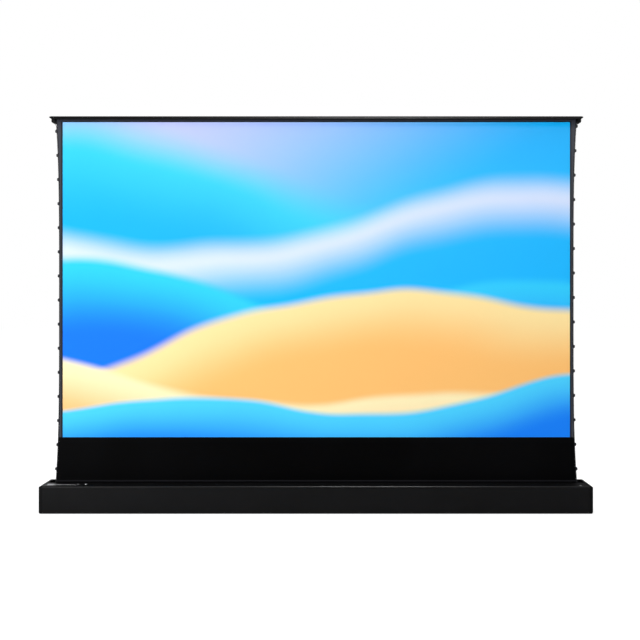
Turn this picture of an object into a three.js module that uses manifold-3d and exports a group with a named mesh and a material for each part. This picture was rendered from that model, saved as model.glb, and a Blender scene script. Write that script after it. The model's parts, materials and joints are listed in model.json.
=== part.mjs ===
// Floor-standing pull-up projection screen: the cloth rises out of a long housing on two folding arms.
// Millimetres. +X is right, the front faces -Y, +Z is up. The origin is the middle of the base.
import * as THREE from 'three';
import { mergeVertices } from 'three/addons/utils/BufferGeometryUtils.js';
import Module from 'manifold-3d';

const wasm = await Module();
wasm.setup();

// Fits shared by all pieces
const seatGap = 0.3;
const overrun = 5;

// Cloth
const pictureWidth = 3231;
const pictureHeight = 2007;
const sideBorder = 19.5;
const edgeFlare = 22;
const edgeFlarePower = 4;
const topBorder = 15.5;
const topHem = 8.7;
const dropShown = 280;
const clothThickness = 0.5;
const clothFromBack = 51;

// Housing
const housingEndRoom = 39;
const housingDepth = 184;
const housingTop = 175;
const wall = 3;
const noseRadius = 8;
const noseLip = 9;
const shadowGroove = 1.2;
const endCapLength = 24;
const endCornerRadius = 15;
const baseCornerRadius = 3;
const capPlanRadius = 9;
const slotDepth = 89;
const slotLip = 14;
const floorHook = 15;
const floorRibHeight = 4;
const floorRibWidth = 2.5;
const floorRibFront = 62;
const floorRibRear = 28;
const panelFlange = 10;
const panelTongue = 2.4;
const capRibWidth = 2;
const capRibHeight = 30;
const capRibSpread = 52;

// Feet
const footHeight = 4;
const footRadius = 16;
const footChamfer = 1.5;
const footInset = 34;
const footFromEnd = 230;

// Roller, its motor and its end bearings
const rollerHeight = 70;
const rollerRadius = 39;
const rollerWall = 2;
const rollerEndGap = 1;
const packThickness = 3.4;
const packInset = 4;
const bobbinSpigot = 25;
const bobbinLength = 18;
const bobbinCheek = 3;
const bobbinCheekRise = 2.5;
const bracketThickness = 3;
const bracketTopMargin = 63;
const bracketFoot = 28;
const bracketSide = 43;
const bracketCorner = 18;
const bracketGap = 2.7;
const motorRadius = 28;
const motorLength = 620;
const motorFlangeRadius = 33;
const motorFlange = 2;
const motorTail = 7;
const motorShaftRadius = 8;
const motorShaftLength = 20;
const stubRadius = 12;
const stubReach = 44;
const drumGap = 0.6;

// Folding arms
const armRestAngle = THREE.MathUtils.degToRad(80);
const armBaseX = 400;
const basePivotHeight = 36;
const topPivotDrop = 23;
const linkHeight = 38;
const linkDepth = 16;
const linkWall = 2;
const linkCorner = 3;
const linkNeck = 26;
const linkTongue = 34;
const linkSideGap = 1.5;
const armFromBackWall = 4.5;
const pinRadius = 6;
const pinGap = 0.3;
const pinHeadRadius = 9;
const pinHeadThickness = 2;
const earThickness = 3;
const earGap = 0.5;
const earRadius = 16;
const baseEarSpread = 38;
const topEarSpread = 26;
const clevisPlate = 3;
const clevisPlateLip = 2;

// Top bar
const lidThickness = 4;
const lidGap = 1.5;
const lidEdgeRadius = 1.6;
const lidCornerChamfer = 17;
const lidEndGap = 2;
const barHeight = 26;
const barBack = 8;
const barWall = 2;
const barWeb = 2;
const endBlockLength = 31;
const endBlockDrop = 3;
const endBlockCorner = 10;
const endBlockNose = 5.5;
const endBlockNoseLength = 24;
const endBlockInset = 7.5;
const endBlockSpigot = 22;

// Side tension
const cordRadius = 1.5;
const cordOut = 3.2;
const cordBehind = 1.2;
const cordAnchorInset = 15.5;
const cordTopInset = 24.5;
const cordBottomRun = 25;
const cordTopRun = 20;
const cordGap = 0.3;
const sleeveWall = 0.8;
const tapeWidth = 18;
const tapeThickness = 0.8;
const tapeBottom = 12;
const tapeTop = 10;
const tabHeight = 22;
const tabRoot = 32;
const tabTip = 14;
const tabReach = 13;
const tabCount = 15;
const lowestTab = 78.6;
const highestTabs = { left: 82.5, right: 50 };
const tensionerRadius = 4;
const tensionerLength = 5;
const tensionerCollar = 1.5;

// Controls
const controlBoxLength = 210;
const controlBoxHeight = 66;
const controlBoxDepth = 32;
const controlBoxFromEnd = 230;
const controlBoxCorner = 4;
const controlBoxFin = 3;
const controlBoxFins = 7;
const eyeRadius = 5;
const eyeFlange = 1.6;
const eyeRise = 0.8;
const eyeFromFront = 56;
const eyeFromLeft = 278;
const windowWidth = 116;
const windowHeight = 46;
const windowCorner = 4;
const windowMiddle = 85;
const plateMargin = 6;
const plateThickness = 2;
const inletWidth = 30;
const inletHeight = 24;
const inletDepth = 24;
const inletWall = 3;
const inletCavity = 20;
const inletCorner = 4;
const inletMiddle = 32;
const bladeLength = 14;
const bladeThickness = 2;
const bladeHeight = 4;
const bladeSpread = 7;
const bladeRaise = 2;
const rockerWidth = 12;
const rockerHeight = 20;
const rockerSetBack = 7;
const rockerTip = THREE.MathUtils.degToRad(8);
const rockerRise = 1.5;
const rockerHollow = 1.2;
const rockerGap = 1.6;
const rockerMiddle = 4;
const trunnionRadius = 1.5;
const trunnionLength = 1.6;
const cheekThickness = 2;
const cheekReach = 11;
const jackRadius = 6;
const jackBore = 1.8;
const jackDepth = 18;
const jackNutRadius = 8;
const jackNut = 2.4;
const jackMiddle = 22;
const buttonRadius = 5;
const buttonFlange = 1.5;
const buttonFlangeThickness = 1.4;
const buttonRise = 1;
const buttonMiddle = 42;
const buttonTravel = 2;
const cupWall = 1.5;

// Counts and facets
const roundSides = 24;
const arcSteps = 5;
const edgeSteps = 20;
const cordSides = 6;
const footSides = 20;

// Levels and planes worked out from the sizes above
const clothHalf = pictureWidth / 2 + sideBorder + edgeFlare;
const capInner = clothHalf + housingEndRoom;
const halfLength = capInner + endCapLength;
const halfDepth = housingDepth / 2;
const innerBack = halfDepth - wall;
const innerFloor = footHeight + wall;
const slotFront = innerBack - slotDepth;
const clothY = halfDepth - clothFromBack;
const clothBack = clothY + clothThickness;
const pictureBottom = housingTop + dropShown;
const pictureTop = pictureBottom + pictureHeight;
const clothTop = pictureTop + topBorder + topHem;
const lidUnderside = clothTop + seatGap;
const barTop = lidUnderside - seatGap;
const barBottom = barTop - barHeight;
const barFront = clothBack + seatGap;
const barRear = innerBack - barBack + cordGap;
const rollerY = clothY - seatGap - rollerRadius - seatGap - packThickness;
const rollerHalf = clothHalf + rollerEndGap;
const bracketX = rollerHalf + bobbinLength + bobbinCheek + bracketGap;
const basePivot = innerFloor + basePivotHeight;
const topPivot = barBottom - topPivotDrop;
const linkLength = (topPivot - basePivot) / (2 * Math.sin(armRestAngle));
const lowerLinkY = innerBack - armFromBackWall - linkDepth / 2;
const upperLinkY = lowerLinkY - linkDepth - linkSideGap;
const lidHalf = capInner - lidEndGap;
const barEnd = lidHalf - endBlockInset;
const barHalf = barEnd - endBlockLength - seatGap;
const cordAnchor = barEnd - cordAnchorInset;
const cordHanger = barEnd - cordTopInset;
const cordY = clothBack + cordBehind - clothThickness;

// Colours and finishes
function finish(color, roughness, metalness) {
  return new THREE.MeshStandardMaterial({ color, roughness, metalness });
}

const looks = {
  shell: () => finish(0x18181a, 0.42, 0.55),
  moulding: () => finish(0x151517, 0.5, 0),
  rubber: () => finish(0x101011, 0.85, 0),
  steel: () => finish(0x8e9196, 0.35, 0.9),
  darkSteel: () => finish(0x2a2b2e, 0.45, 0.8),
  alloy: () => finish(0x2c2d30, 0.4, 0.75),
  bare: () => finish(0xb4b7bb, 0.35, 0.85),
  screen: () => finish(0x8f98a8, 0.55, 0),
  blackCloth: () => finish(0x070708, 0.3, 0),
  tape: () => finish(0x1c1d24, 0.6, 0),
  cord: () => finish(0x212126, 0.5, 0),
  lens: () => finish(0xdfe3e8, 0.15, 0),
};

// Solids from geometries and back
function solid(geometry) {
  const bare = geometry.clone();
  bare.deleteAttribute('normal');
  bare.deleteAttribute('uv');
  const merged = mergeVertices(bare);
  const vertProperties = new Float32Array(merged.attributes.position.array);
  const triVerts = new Uint32Array(merged.index.array);
  return new wasm.Manifold(new wasm.Mesh({ numProp: 3, vertProperties, triVerts }));
}

function piece(name, form, material) {
  const { vertProperties, triVerts } = form.getMesh();
  const geometry = new THREE.BufferGeometry();
  geometry.setAttribute('position', new THREE.BufferAttribute(new Float32Array(vertProperties), 3));
  geometry.setIndex(new THREE.BufferAttribute(new Uint32Array(triVerts), 1));
  const flat = geometry.toNonIndexed();
  flat.computeVertexNormals();
  const mesh = new THREE.Mesh(flat, material);
  mesh.name = name;
  return mesh;
}

function joined(forms) {
  return forms.reduce((whole, form) => whole.add(form));
}

// Outlines: corners are [u, v, radius], and a corner without a radius is sharp
function outline(corners) {
  const points = [];
  corners.forEach(([u, v, radius = 0], i) => {
    const here = new THREE.Vector2(u, v);
    if (!radius) {
      points.push(here);
      return;
    }
    const before = corners[(i + corners.length - 1) % corners.length];
    const after = corners[(i + 1) % corners.length];
    const toBefore = new THREE.Vector2(before[0], before[1]).sub(here).normalize();
    const toAfter = new THREE.Vector2(after[0], after[1]).sub(here).normalize();
    const half = Math.acos(THREE.MathUtils.clamp(toBefore.dot(toAfter), -1, 1)) / 2;
    const start = here.clone().addScaledVector(toBefore, radius / Math.tan(half));
    const end = here.clone().addScaledVector(toAfter, radius / Math.tan(half));
    const middle = toBefore.clone().add(toAfter).normalize();
    const centre = here.clone().addScaledVector(middle, radius / Math.sin(half));
    const from = start.clone().sub(centre).angle();
    let turn = end.clone().sub(centre).angle() - from;
    turn -= 2 * Math.PI * Math.round(turn / (2 * Math.PI));
    for (let k = 0; k <= arcSteps; k += 1) {
      const angle = from + (turn * k) / arcSteps;
      const arm = new THREE.Vector2(Math.cos(angle), Math.sin(angle)).multiplyScalar(radius);
      points.push(centre.clone().add(arm));
    }
  });
  return new THREE.Shape(THREE.ShapeUtils.isClockWise(points) ? points.reverse() : points);
}

function rectangle(u0, u1, v0, v1, radius = 0) {
  return outline([[u0, v0, radius], [u1, v0, radius], [u1, v1, radius], [u0, v1, radius]]);
}

function circle(radius, u = 0, v = 0, sides = roundSides) {
  const points = [];
  for (let k = 0; k < sides; k += 1) {
    const angle = (2 * Math.PI * k) / sides;
    points.push(new THREE.Vector2(u + radius * Math.cos(angle), v + radius * Math.sin(angle)));
  }
  return new THREE.Shape(points);
}

function pierced(shape, holes) {
  shape.holes = holes.map((hole) => new THREE.Path(hole.getPoints().reverse()));
  return shape;
}

// Prisms along each axis: across X the outline is (y, z), across Y it is (x, z), across Z it is (x, y)
function extruded(shape, length) {
  return new THREE.ExtrudeGeometry(shape, { depth: length, bevelEnabled: false, steps: 1 });
}

function prismX(shape, x0, x1) {
  const geometry = extruded(shape, x1 - x0);
  geometry.applyMatrix4(new THREE.Matrix4().set(0, 0, 1, x0, 1, 0, 0, 0, 0, 1, 0, 0, 0, 0, 0, 1));
  return solid(geometry);
}

function prismY(shape, y0, y1) {
  const geometry = extruded(shape, y1 - y0);
  geometry.rotateX(Math.PI / 2);
  geometry.translate(0, y1, 0);
  return solid(geometry);
}

function prismZ(shape, z0, z1) {
  const geometry = extruded(shape, z1 - z0);
  geometry.translate(0, 0, z0);
  return solid(geometry);
}

function block(x0, x1, y0, y1, z0, z1) {
  const geometry = new THREE.BoxGeometry(x1 - x0, y1 - y0, z1 - z0);
  geometry.translate((x0 + x1) / 2, (y0 + y1) / 2, (z0 + z1) / 2);
  return solid(geometry);
}

// Revolved forms: the profile is [radius, height], turned about Z, then laid along X or Y
function turned(profile, sides = roundSides) {
  const points = profile.map(([radius, height]) => new THREE.Vector2(radius, height));
  const geometry = new THREE.LatheGeometry(points, sides);
  geometry.rotateX(Math.PI / 2);
  return geometry;
}

function turnedX(profile, sides) {
  return solid(turned(profile, sides).rotateY(Math.PI / 2));
}

function turnedY(profile, sides) {
  return solid(turned(profile, sides).rotateX(-Math.PI / 2));
}

function turnedZ(profile, sides) {
  return solid(turned(profile, sides));
}

// Housing: a rolled floor and back, a front panel, and a top rail with a rounded nose
function housingOutline() {
  return outline([
    [-halfDepth, footHeight, baseCornerRadius],
    [halfDepth, footHeight, baseCornerRadius],
    [halfDepth, housingTop],
    [-halfDepth, housingTop, noseRadius],
  ]);
}

function floorRib(y) {
  return [
    [y + floorRibWidth, innerFloor],
    [y + floorRibWidth, innerFloor + floorRibHeight],
    [y, innerFloor + floorRibHeight],
    [y, innerFloor],
  ];
}

function rearChassis() {
  const floorFront = -innerBack + seatGap;
  const shape = outline([
    [floorFront, footHeight],
    [halfDepth, footHeight, baseCornerRadius],
    [halfDepth, housingTop],
    [innerBack, housingTop],
    [innerBack, innerFloor],
    ...floorRib(floorRibRear),
    ...floorRib(-floorRibFront),
    [floorFront + wall, innerFloor],
    [floorFront + wall, innerFloor + floorHook],
    [floorFront, innerFloor + floorHook],
  ]);
  return piece('rear_chassis', prismX(shape, -capInner + seatGap, capInner - seatGap), looks.shell());
}

function frontPanel() {
  const top = housingTop - noseLip - shadowGroove;
  const tongueTop = housingTop - wall - seatGap;
  const tongueFront = -innerBack + seatGap;
  const shape = outline([
    [-halfDepth, footHeight, baseCornerRadius],
    [-innerBack, footHeight],
    [-innerBack, top - wall],
    [-innerBack + panelFlange, top - wall],
    [-innerBack + panelFlange, top],
    [tongueFront + panelTongue, top],
    [tongueFront + panelTongue, tongueTop],
    [tongueFront, tongueTop],
    [tongueFront, top],
    [-halfDepth, top],
  ]);
  return piece('front_panel', prismX(shape, -capInner + seatGap, capInner - seatGap), looks.shell());
}

function topRail() {
  const shape = outline([
    [-halfDepth, housingTop - noseLip],
    [-innerBack, housingTop - noseLip],
    [-innerBack, housingTop - wall],
    [slotFront - wall, housingTop - wall],
    [slotFront - wall, housingTop - slotLip],
    [slotFront, housingTop - slotLip],
    [slotFront, housingTop],
    [-halfDepth, housingTop, noseRadius],
  ]);
  const rail = prismX(shape, -capInner + seatGap, capInner - seatGap);
  const y = -halfDepth + eyeFromFront;
  const hole = circle(eyeRadius + seatGap, eyeFromLeft - halfLength, y, roundSides / 2);
  const drilled = rail.subtract(prismZ(hole, housingTop - wall - overrun, housingTop + overrun));
  return piece('top_rail', drilled, looks.shell());
}

function capOutline(inner, outer, low, high, radius) {
  return outline([[inner, low], [outer, low, radius], [outer, high, radius], [inner, high]]);
}

function capPlan(inner, outer, depth, radius) {
  return outline([[inner, -depth], [outer, -depth, radius], [outer, depth, radius], [inner, depth]]);
}

function endCap(name, side) {
  const ends = capOutline(side * capInner, side * halfLength, footHeight, housingTop, endCornerRadius);
  const across = prismX(housingOutline(), -halfLength, halfLength);
  const plan = capPlan(side * capInner, side * halfLength, halfDepth, capPlanRadius);
  const upright = prismZ(plan, footHeight, housingTop);
  const body = prismY(ends, -halfDepth, halfDepth).intersect(across).intersect(upright);
  const hollow = capOutline(
    side * (capInner - overrun),
    side * (halfLength - wall),
    innerFloor,
    housingTop - wall,
    endCornerRadius - wall,
  );
  const room = capPlan(
    side * (capInner - overrun),
    side * (halfLength - wall),
    innerBack,
    capPlanRadius - wall,
  );
  const hollowed = prismY(hollow, -innerBack, innerBack).intersect(prismZ(room, 0, housingTop));
  const shell = body.subtract(hollowed);
  const ribs = [-capRibSpread, capRibSpread].map((y) => {
    const x0 = Math.min(side * (capInner + wall), side * (halfLength - wall / 2));
    const x1 = Math.max(side * (capInner + wall), side * (halfLength - wall / 2));
    const top = housingTop - endCornerRadius + wall;
    return block(x0, x1, y - capRibWidth / 2, y + capRibWidth / 2, top - capRibHeight, top);
  });
  return { name, form: shell.add(joined(ribs)) };
}

function leftEndCap() {
  const { name, form } = endCap('left_end_cap', -1);
  const window = rectangle(
    -windowWidth / 2,
    windowWidth / 2,
    windowMiddle - windowHeight / 2,
    windowMiddle + windowHeight / 2,
    windowCorner,
  );
  const cut = prismX(window, -halfLength - overrun, -halfLength + wall + overrun);
  return piece(name, form.subtract(cut), looks.moulding());
}

function rightEndCap() {
  const { name, form } = endCap('right_end_cap', 1);
  return piece(name, form, looks.moulding());
}

function foot(name, x, y) {
  const height = footHeight - seatGap;
  const profile = [
    [0, 0],
    [footRadius - footChamfer, 0],
    [footRadius, footChamfer],
    [footRadius, height],
    [0, height],
  ];
  const mesh = piece(name, turnedZ(profile, footSides), looks.rubber());
  mesh.position.set(x, y, 0);
  return mesh;
}

function feet() {
  const rows = { front: -halfDepth + footInset, rear: halfDepth - footInset };
  const columns = { left: -halfLength + footFromEnd, middle: 0, right: halfLength - footFromEnd };
  return Object.entries(rows).flatMap(([row, y]) =>
    Object.entries(columns).map(([column, x]) => foot(`foot_${row}_${column}`, x, y)),
  );
}

// Roller brackets stand on the floor at each end
function bracketForm(side, holeRadius) {
  const low = innerFloor + seatGap;
  const high = housingTop - bracketTopMargin;
  const x0 = Math.min(side * bracketX, side * (bracketX + bracketThickness));
  const plate = outline([
    [rollerY - bracketSide, low],
    [rollerY + bracketSide - cordOut * 2, low],
    [rollerY + bracketSide - cordOut * 2, high, bracketCorner],
    [rollerY - bracketSide, high, bracketCorner],
  ]);
  if (holeRadius) pierced(plate, [circle(holeRadius, rollerY, rollerHeight)]);
  const upright = prismX(plate, x0, x0 + bracketThickness);
  const f0 = Math.min(side * (bracketX + bracketThickness), side * (bracketX - bracketFoot));
  const f1 = Math.max(side * (bracketX + bracketThickness), side * (bracketX - bracketFoot));
  const footPlate = block(
    f0,
    f1,
    rollerY - bracketSide,
    rollerY + bracketSide - cordOut * 2,
    low,
    low + bracketThickness,
  );
  const ribs = innerFloor + floorRibHeight + seatGap;
  const passage = block(
    f0 - overrun,
    f1 + overrun,
    floorRibRear - seatGap,
    floorRibRear + floorRibWidth + seatGap,
    low - overrun,
    ribs,
  );
  return upright.add(footPlate).subtract(passage);
}

function motorBracket() {
  const form = bracketForm(-1, motorRadius - wall + seatGap);
  return piece('motor_bracket', form, looks.darkSteel());
}

function idlerBracket() {
  const stub = turnedX([
    [0, bracketX - stubReach],
    [stubRadius - footChamfer, bracketX - stubReach],
    [stubRadius, bracketX - stubReach + footChamfer],
    [stubRadius, bracketX + bracketThickness / 2],
    [0, bracketX + bracketThickness / 2],
  ]).translate([0, rollerY, rollerHeight]);
  return piece('idler_bracket', bracketForm(1, 0).add(stub), looks.darkSteel());
}

function tubularMotor() {
  const flangeFace = -bracketX + seatGap;
  const bodyStart = flangeFace + motorFlange;
  const bodyEnd = bodyStart + motorLength;
  const form = turnedX([
    [0, -bracketX - bracketThickness - motorTail],
    [motorRadius - wall, -bracketX - bracketThickness - motorTail],
    [motorRadius - wall, flangeFace],
    [motorFlangeRadius, flangeFace],
    [motorFlangeRadius, bodyStart],
    [motorRadius, bodyStart],
    [motorRadius, bodyEnd],
    [motorShaftRadius, bodyEnd],
    [motorShaftRadius, bodyEnd + motorShaftLength],
    [0, bodyEnd + motorShaftLength],
  ]);
  const mesh = piece('tubular_motor', form, looks.bare());
  mesh.position.set(0, rollerY, rollerHeight);
  return mesh;
}

// The roller and what turns with it, about its own axis
function rollerTube() {
  const shape = pierced(circle(rollerRadius), [circle(rollerRadius - rollerWall)]);
  return piece('roller_tube', prismX(shape, -rollerHalf, rollerHalf), looks.bare());
}

function bobbin(name, side, bore) {
  const groove = rollerRadius + packThickness + seatGap - cordRadius + cordBehind - cordGap;
  const cheek = groove + bobbinCheekRise;
  const plug = rollerRadius - rollerWall - seatGap;
  const profile = [
    [bore, rollerHalf - bobbinSpigot],
    [plug, rollerHalf - bobbinSpigot],
    [plug, rollerHalf + seatGap],
    [cheek, rollerHalf + seatGap],
    [cheek, rollerHalf + bobbinCheek],
    [groove, rollerHalf + bobbinCheek],
    [groove, rollerHalf + bobbinLength],
    [cheek, rollerHalf + bobbinLength],
    [cheek, rollerHalf + bobbinLength + bobbinCheek],
    [bore, rollerHalf + bobbinLength + bobbinCheek],
    [bore, rollerHalf - bobbinSpigot],
  ];
  const mesh = piece(name, turnedX(profile), looks.moulding());
  mesh.rotation.z = side < 0 ? Math.PI : 0;
  return mesh;
}

function driveWheel() {
  const start = -bracketX + seatGap + motorFlange + motorLength + seatGap;
  const end = start + motorShaftLength - seatGap;
  const rim = circle(rollerRadius - rollerWall - seatGap);
  const shape = pierced(rim, [circle(motorShaftRadius + seatGap)]);
  return piece('drive_wheel', prismX(shape, start, end), looks.moulding());
}

function clothPack() {
  const inner = rollerRadius + seatGap;
  const shape = pierced(circle(inner + packThickness), [circle(inner)]);
  return piece('cloth_pack', prismX(shape, -rollerHalf + packInset, rollerHalf - packInset), looks.blackCloth());
}

function roller() {
  const group = new THREE.Group();
  group.position.set(0, rollerY, rollerHeight);
  group.add(rollerTube());
  group.add(bobbin('drive_crown', -1, motorRadius + drumGap));
  group.add(bobbin('idler_plug', 1, stubRadius + drumGap));
  group.add(driveWheel());
  group.add(clothPack());
  return group;
}

// A clevis: a plate and two ears, with its pivot at the origin; up is 1 for a base and -1 for a hanger
function clevis(up, pivotHeight, earSpread) {
  const earInner = linkDepth / 2 + earGap;
  const earOuter = earInner + earThickness;
  const low = -pivotHeight + seatGap;
  const ear = outline([
    [-earSpread, up * low],
    [earSpread, up * low],
    [earRadius, 0],
    [earRadius, up * earRadius, earRadius * 0.9],
    [-earRadius, up * earRadius, earRadius * 0.9],
    [-earRadius, 0],
  ]);
  pierced(ear, [circle(pinRadius + pinGap, 0, 0, roundSides / 2)]);
  const front = prismY(ear, -earOuter, -earInner);
  const rear = prismY(ear, earInner, earOuter);
  const z0 = Math.min(up * low, up * (low + clevisPlate));
  const plate = block(
    -earSpread,
    earSpread,
    -earOuter - clevisPlateLip,
    earOuter,
    z0,
    z0 + clevisPlate,
  );
  return joined([plate, front, rear]);
}

function pinForm(reach) {
  const head = -reach - pinHeadThickness;
  return turnedY([
    [0, head],
    [pinHeadRadius, head],
    [pinHeadRadius, -reach],
    [pinRadius, -reach],
    [pinRadius, reach],
    [0, reach],
  ], roundSides / 2);
}

function pin(name, reach) {
  return piece(name, pinForm(reach), looks.steel());
}

function clevisPin(name) {
  return pin(name, linkDepth / 2 + earGap + earThickness + seatGap);
}

function armBase(side, word) {
  const group = new THREE.Group();
  group.position.set(side * armBaseX, lowerLinkY, basePivot);
  group.add(piece(`${word}_arm_base`, clevis(1, basePivotHeight, baseEarSpread), looks.darkSteel()));
  group.add(clevisPin(`${word}_shoulder_pin`));
  return group;
}

// One arm link: a hollow tube between two eyes, from the pivot at its origin along +X
function linkEye(name) {
  const half = linkHeight / 2;
  const inner = half - linkWall - seatGap;
  const innerDepth = linkDepth / 2 - linkWall - seatGap;
  const neck = outline([
    [linkNeck, -half],
    [linkNeck, half],
    [-half, half, half * 0.98],
    [-half, -half, half * 0.98],
  ]);
  const eye = prismY(neck, -linkDepth / 2, linkDepth / 2);
  const tongue = block(linkNeck - overrun, linkNeck + linkTongue, -innerDepth, innerDepth, -inner, inner);
  const bore = prismY(circle(pinRadius + pinGap, 0, 0, roundSides / 2), -linkDepth, linkDepth);
  return piece(name, eye.add(tongue).subtract(bore), looks.darkSteel());
}

function linkTube(name) {
  const half = linkHeight / 2;
  const deep = linkDepth / 2;
  const outer = rectangle(-deep, deep, -half, half, linkCorner);
  const inner = rectangle(
    -deep + linkWall,
    deep - linkWall,
    -half + linkWall,
    half - linkWall,
    linkCorner - linkWall,
  );
  const start = linkNeck + seatGap;
  return piece(name, prismX(pierced(outer, [inner]), start, linkLength - start), looks.alloy());
}

function link(word, near, far) {
  const group = new THREE.Group();
  group.add(linkTube(`${word}_tube`));
  group.add(linkEye(`${word}_${near}_eye`));
  const end = linkEye(`${word}_${far}_eye`);
  end.position.x = linkLength;
  end.rotation.y = Math.PI;
  group.add(end);
  return group;
}

function arm(side, word) {
  const group = new THREE.Group();
  const turn = side > 0 ? armRestAngle : Math.PI - armRestAngle;
  const elbowX = side * (armBaseX + linkLength * Math.cos(armRestAngle));
  const elbowZ = basePivot + linkLength * Math.sin(armRestAngle);
  const lower = link(`${word}_lower`, 'shoulder', 'elbow');
  lower.position.set(side * armBaseX, lowerLinkY, basePivot);
  lower.rotation.y = -turn;
  const upper = link(`${word}_upper`, 'elbow', 'top');
  upper.position.set(elbowX, upperLinkY, elbowZ);
  upper.rotation.y = -(Math.PI - turn);
  const elbowPin = pin(`${word}_elbow_pin`, linkDepth + linkSideGap / 2 + seatGap);
  elbowPin.position.set(elbowX, (lowerLinkY + upperLinkY) / 2, elbowZ);
  group.add(lower, upper, elbowPin);
  return group;
}

// Top bar: a hollow bar that holds the cloth, a cover strip that closes the slot, and end blocks
function barOutline() {
  return rectangle(barFront, barRear, barBottom, barTop);
}

function topBarProfile() {
  const middle = (barFront + barRear) / 2;
  const low = barBottom + barWall;
  const high = barTop - barWall;
  const front = rectangle(barFront + barWall, middle - barWeb / 2, low, high);
  const rear = rectangle(middle + barWeb / 2, barRear - barWall, low, high);
  const chambers = [front, rear].map((shape) => prismX(shape, -barHalf - overrun, barHalf + overrun));
  const bar = prismX(barOutline(), -barHalf, barHalf);
  return piece('top_bar_profile', bar.subtract(joined(chambers)), looks.shell());
}

function coverStrip() {
  const front = slotFront + lidGap;
  const rear = innerBack - lidGap;
  const section = rectangle(front, rear, lidUnderside, lidUnderside + lidThickness, lidEdgeRadius);
  const plan = outline([
    [-lidHalf + lidCornerChamfer, front],
    [lidHalf - lidCornerChamfer, front],
    [lidHalf, front + lidCornerChamfer],
    [lidHalf, rear],
    [-lidHalf, rear],
    [-lidHalf, front + lidCornerChamfer],
  ]);
  const strip = prismX(section, -lidHalf, lidHalf);
  const trim = prismZ(plan, lidUnderside - overrun, lidUnderside + lidThickness + overrun);
  return piece('cover_strip', strip.intersect(trim), looks.shell());
}

function endBlock(side, word) {
  const inner = side * (barHalf + seatGap);
  const outer = side * barEnd;
  const low = barBottom - endBlockDrop;
  const corner = endBlockCorner;
  const shape = outline([[inner, low, corner / 2], [outer, low, corner], [outer, barTop], [inner, barTop]]);
  const body = prismY(shape, barFront, barRear);
  const noseInner = side * (barEnd - endBlockNoseLength);
  const nose = outline([[noseInner, low, corner / 2], [outer, low, corner], [outer, barTop], [noseInner, barTop]]);
  const front = prismY(nose, barFront - endBlockNose, barFront + overrun);
  const s0 = Math.min(side * (barHalf - endBlockSpigot), side * (barHalf + overrun));
  const s1 = Math.max(side * (barHalf - endBlockSpigot), side * (barHalf + overrun));
  const middle = (barFront + barRear) / 2;
  const spigot = block(
    s0,
    s1,
    middle + barWeb / 2 + seatGap,
    barRear - barWall - seatGap,
    barBottom + barWall + seatGap,
    barTop - barWall - seatGap,
  );
  return piece(`${word}_end_block`, joined([body, front, spigot]), looks.moulding());
}

function topBracket(side, word) {
  const group = new THREE.Group();
  group.position.set(side * armBaseX, upperLinkY, topPivot);
  group.add(piece(`${word}_top_bracket`, clevis(-1, topPivotDrop, topEarSpread), looks.darkSteel()));
  group.add(clevisPin(`${word}_top_pin`));
  return group;
}

// Cloth: its side edges bow inwards between the bar and the housing
function edgeX(z) {
  const middle = (housingTop + lidUnderside) / 2;
  const share = Math.min(1, Math.abs(z - middle) / (lidUnderside - middle));
  return pictureWidth / 2 + sideBorder + edgeFlare * share ** edgeFlarePower;
}

function levels(low, high) {
  return Array.from({ length: edgeSteps + 1 }, (_, i) => low + ((high - low) * i) / edgeSteps);
}

function clothShape(low, high) {
  const rising = levels(low, high);
  const right = rising.map((z) => [edgeX(z), z]);
  const left = [...rising].reverse().map((z) => [-edgeX(z), z]);
  return outline([...right, ...left]);
}

function viewingSurface() {
  const form = prismY(clothShape(pictureBottom, clothTop), clothY, clothBack);
  return piece('viewing_surface', form, looks.screen());
}

function blackDrop() {
  const form = prismY(clothShape(rollerHeight, pictureBottom - seatGap), clothY, clothBack);
  return piece('black_drop', form, looks.blackCloth());
}

// Side tension: a taped edge with sleeves, a cord through them, and a tensioner under the end block
function cordPath(side) {
  const top = barBottom - endBlockDrop - seatGap;
  const low = housingTop + cordBottomRun;
  const high = top - tensionerLength - cordTopRun;
  const points = [new THREE.Vector3(side * cordAnchor, cordY, rollerHeight)];
  levels(low, high).forEach((z) => points.push(new THREE.Vector3(side * (edgeX(z) + cordOut), cordY, z)));
  points.push(new THREE.Vector3(side * cordHanger, cordY, top - tensionerLength));
  points.push(new THREE.Vector3(side * cordHanger, cordY, top));
  const path = new THREE.CurvePath();
  points.slice(1).forEach((point, i) => path.add(new THREE.LineCurve3(points[i], point)));
  return { path, points };
}

function along(points, radius) {
  const rings = points.map((point, i) => {
    const before = points[Math.max(0, i - 1)];
    const after = points[Math.min(points.length - 1, i + 1)];
    return { point, run: after.clone().sub(before).normalize() };
  });
  const positions = [];
  rings.forEach(({ point, run }) => {
    const v = new THREE.Vector3(0, 1, 0);
    const u = v.clone().cross(run).normalize();
    for (let k = 0; k < cordSides; k += 1) {
      const angle = (2 * Math.PI * (k + 0.5)) / cordSides;
      const at = point.clone();
      at.addScaledVector(u, radius * Math.cos(angle)).addScaledVector(v, radius * Math.sin(angle));
      positions.push(at.x, at.y, at.z);
    }
  });
  const index = [];
  for (let i = 0; i + 1 < rings.length; i += 1) {
    for (let k = 0; k < cordSides; k += 1) {
      const a = i * cordSides + k;
      const b = i * cordSides + ((k + 1) % cordSides);
      index.push(a, b, b + cordSides, a, b + cordSides, a + cordSides);
    }
  }
  const last = (rings.length - 1) * cordSides;
  for (let k = 1; k + 1 < cordSides; k += 1) {
    index.push(0, k + 1, k, last, last + k, last + k + 1);
  }
  const geometry = new THREE.BufferGeometry();
  geometry.setAttribute('position', new THREE.BufferAttribute(new Float32Array(positions), 3));
  geometry.setIndex(index);
  return solid(geometry);
}

function tensionCord(side, word) {
  return piece(`${word}_tension_cord`, along(cordPath(side).points, cordRadius), looks.cord());
}

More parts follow.
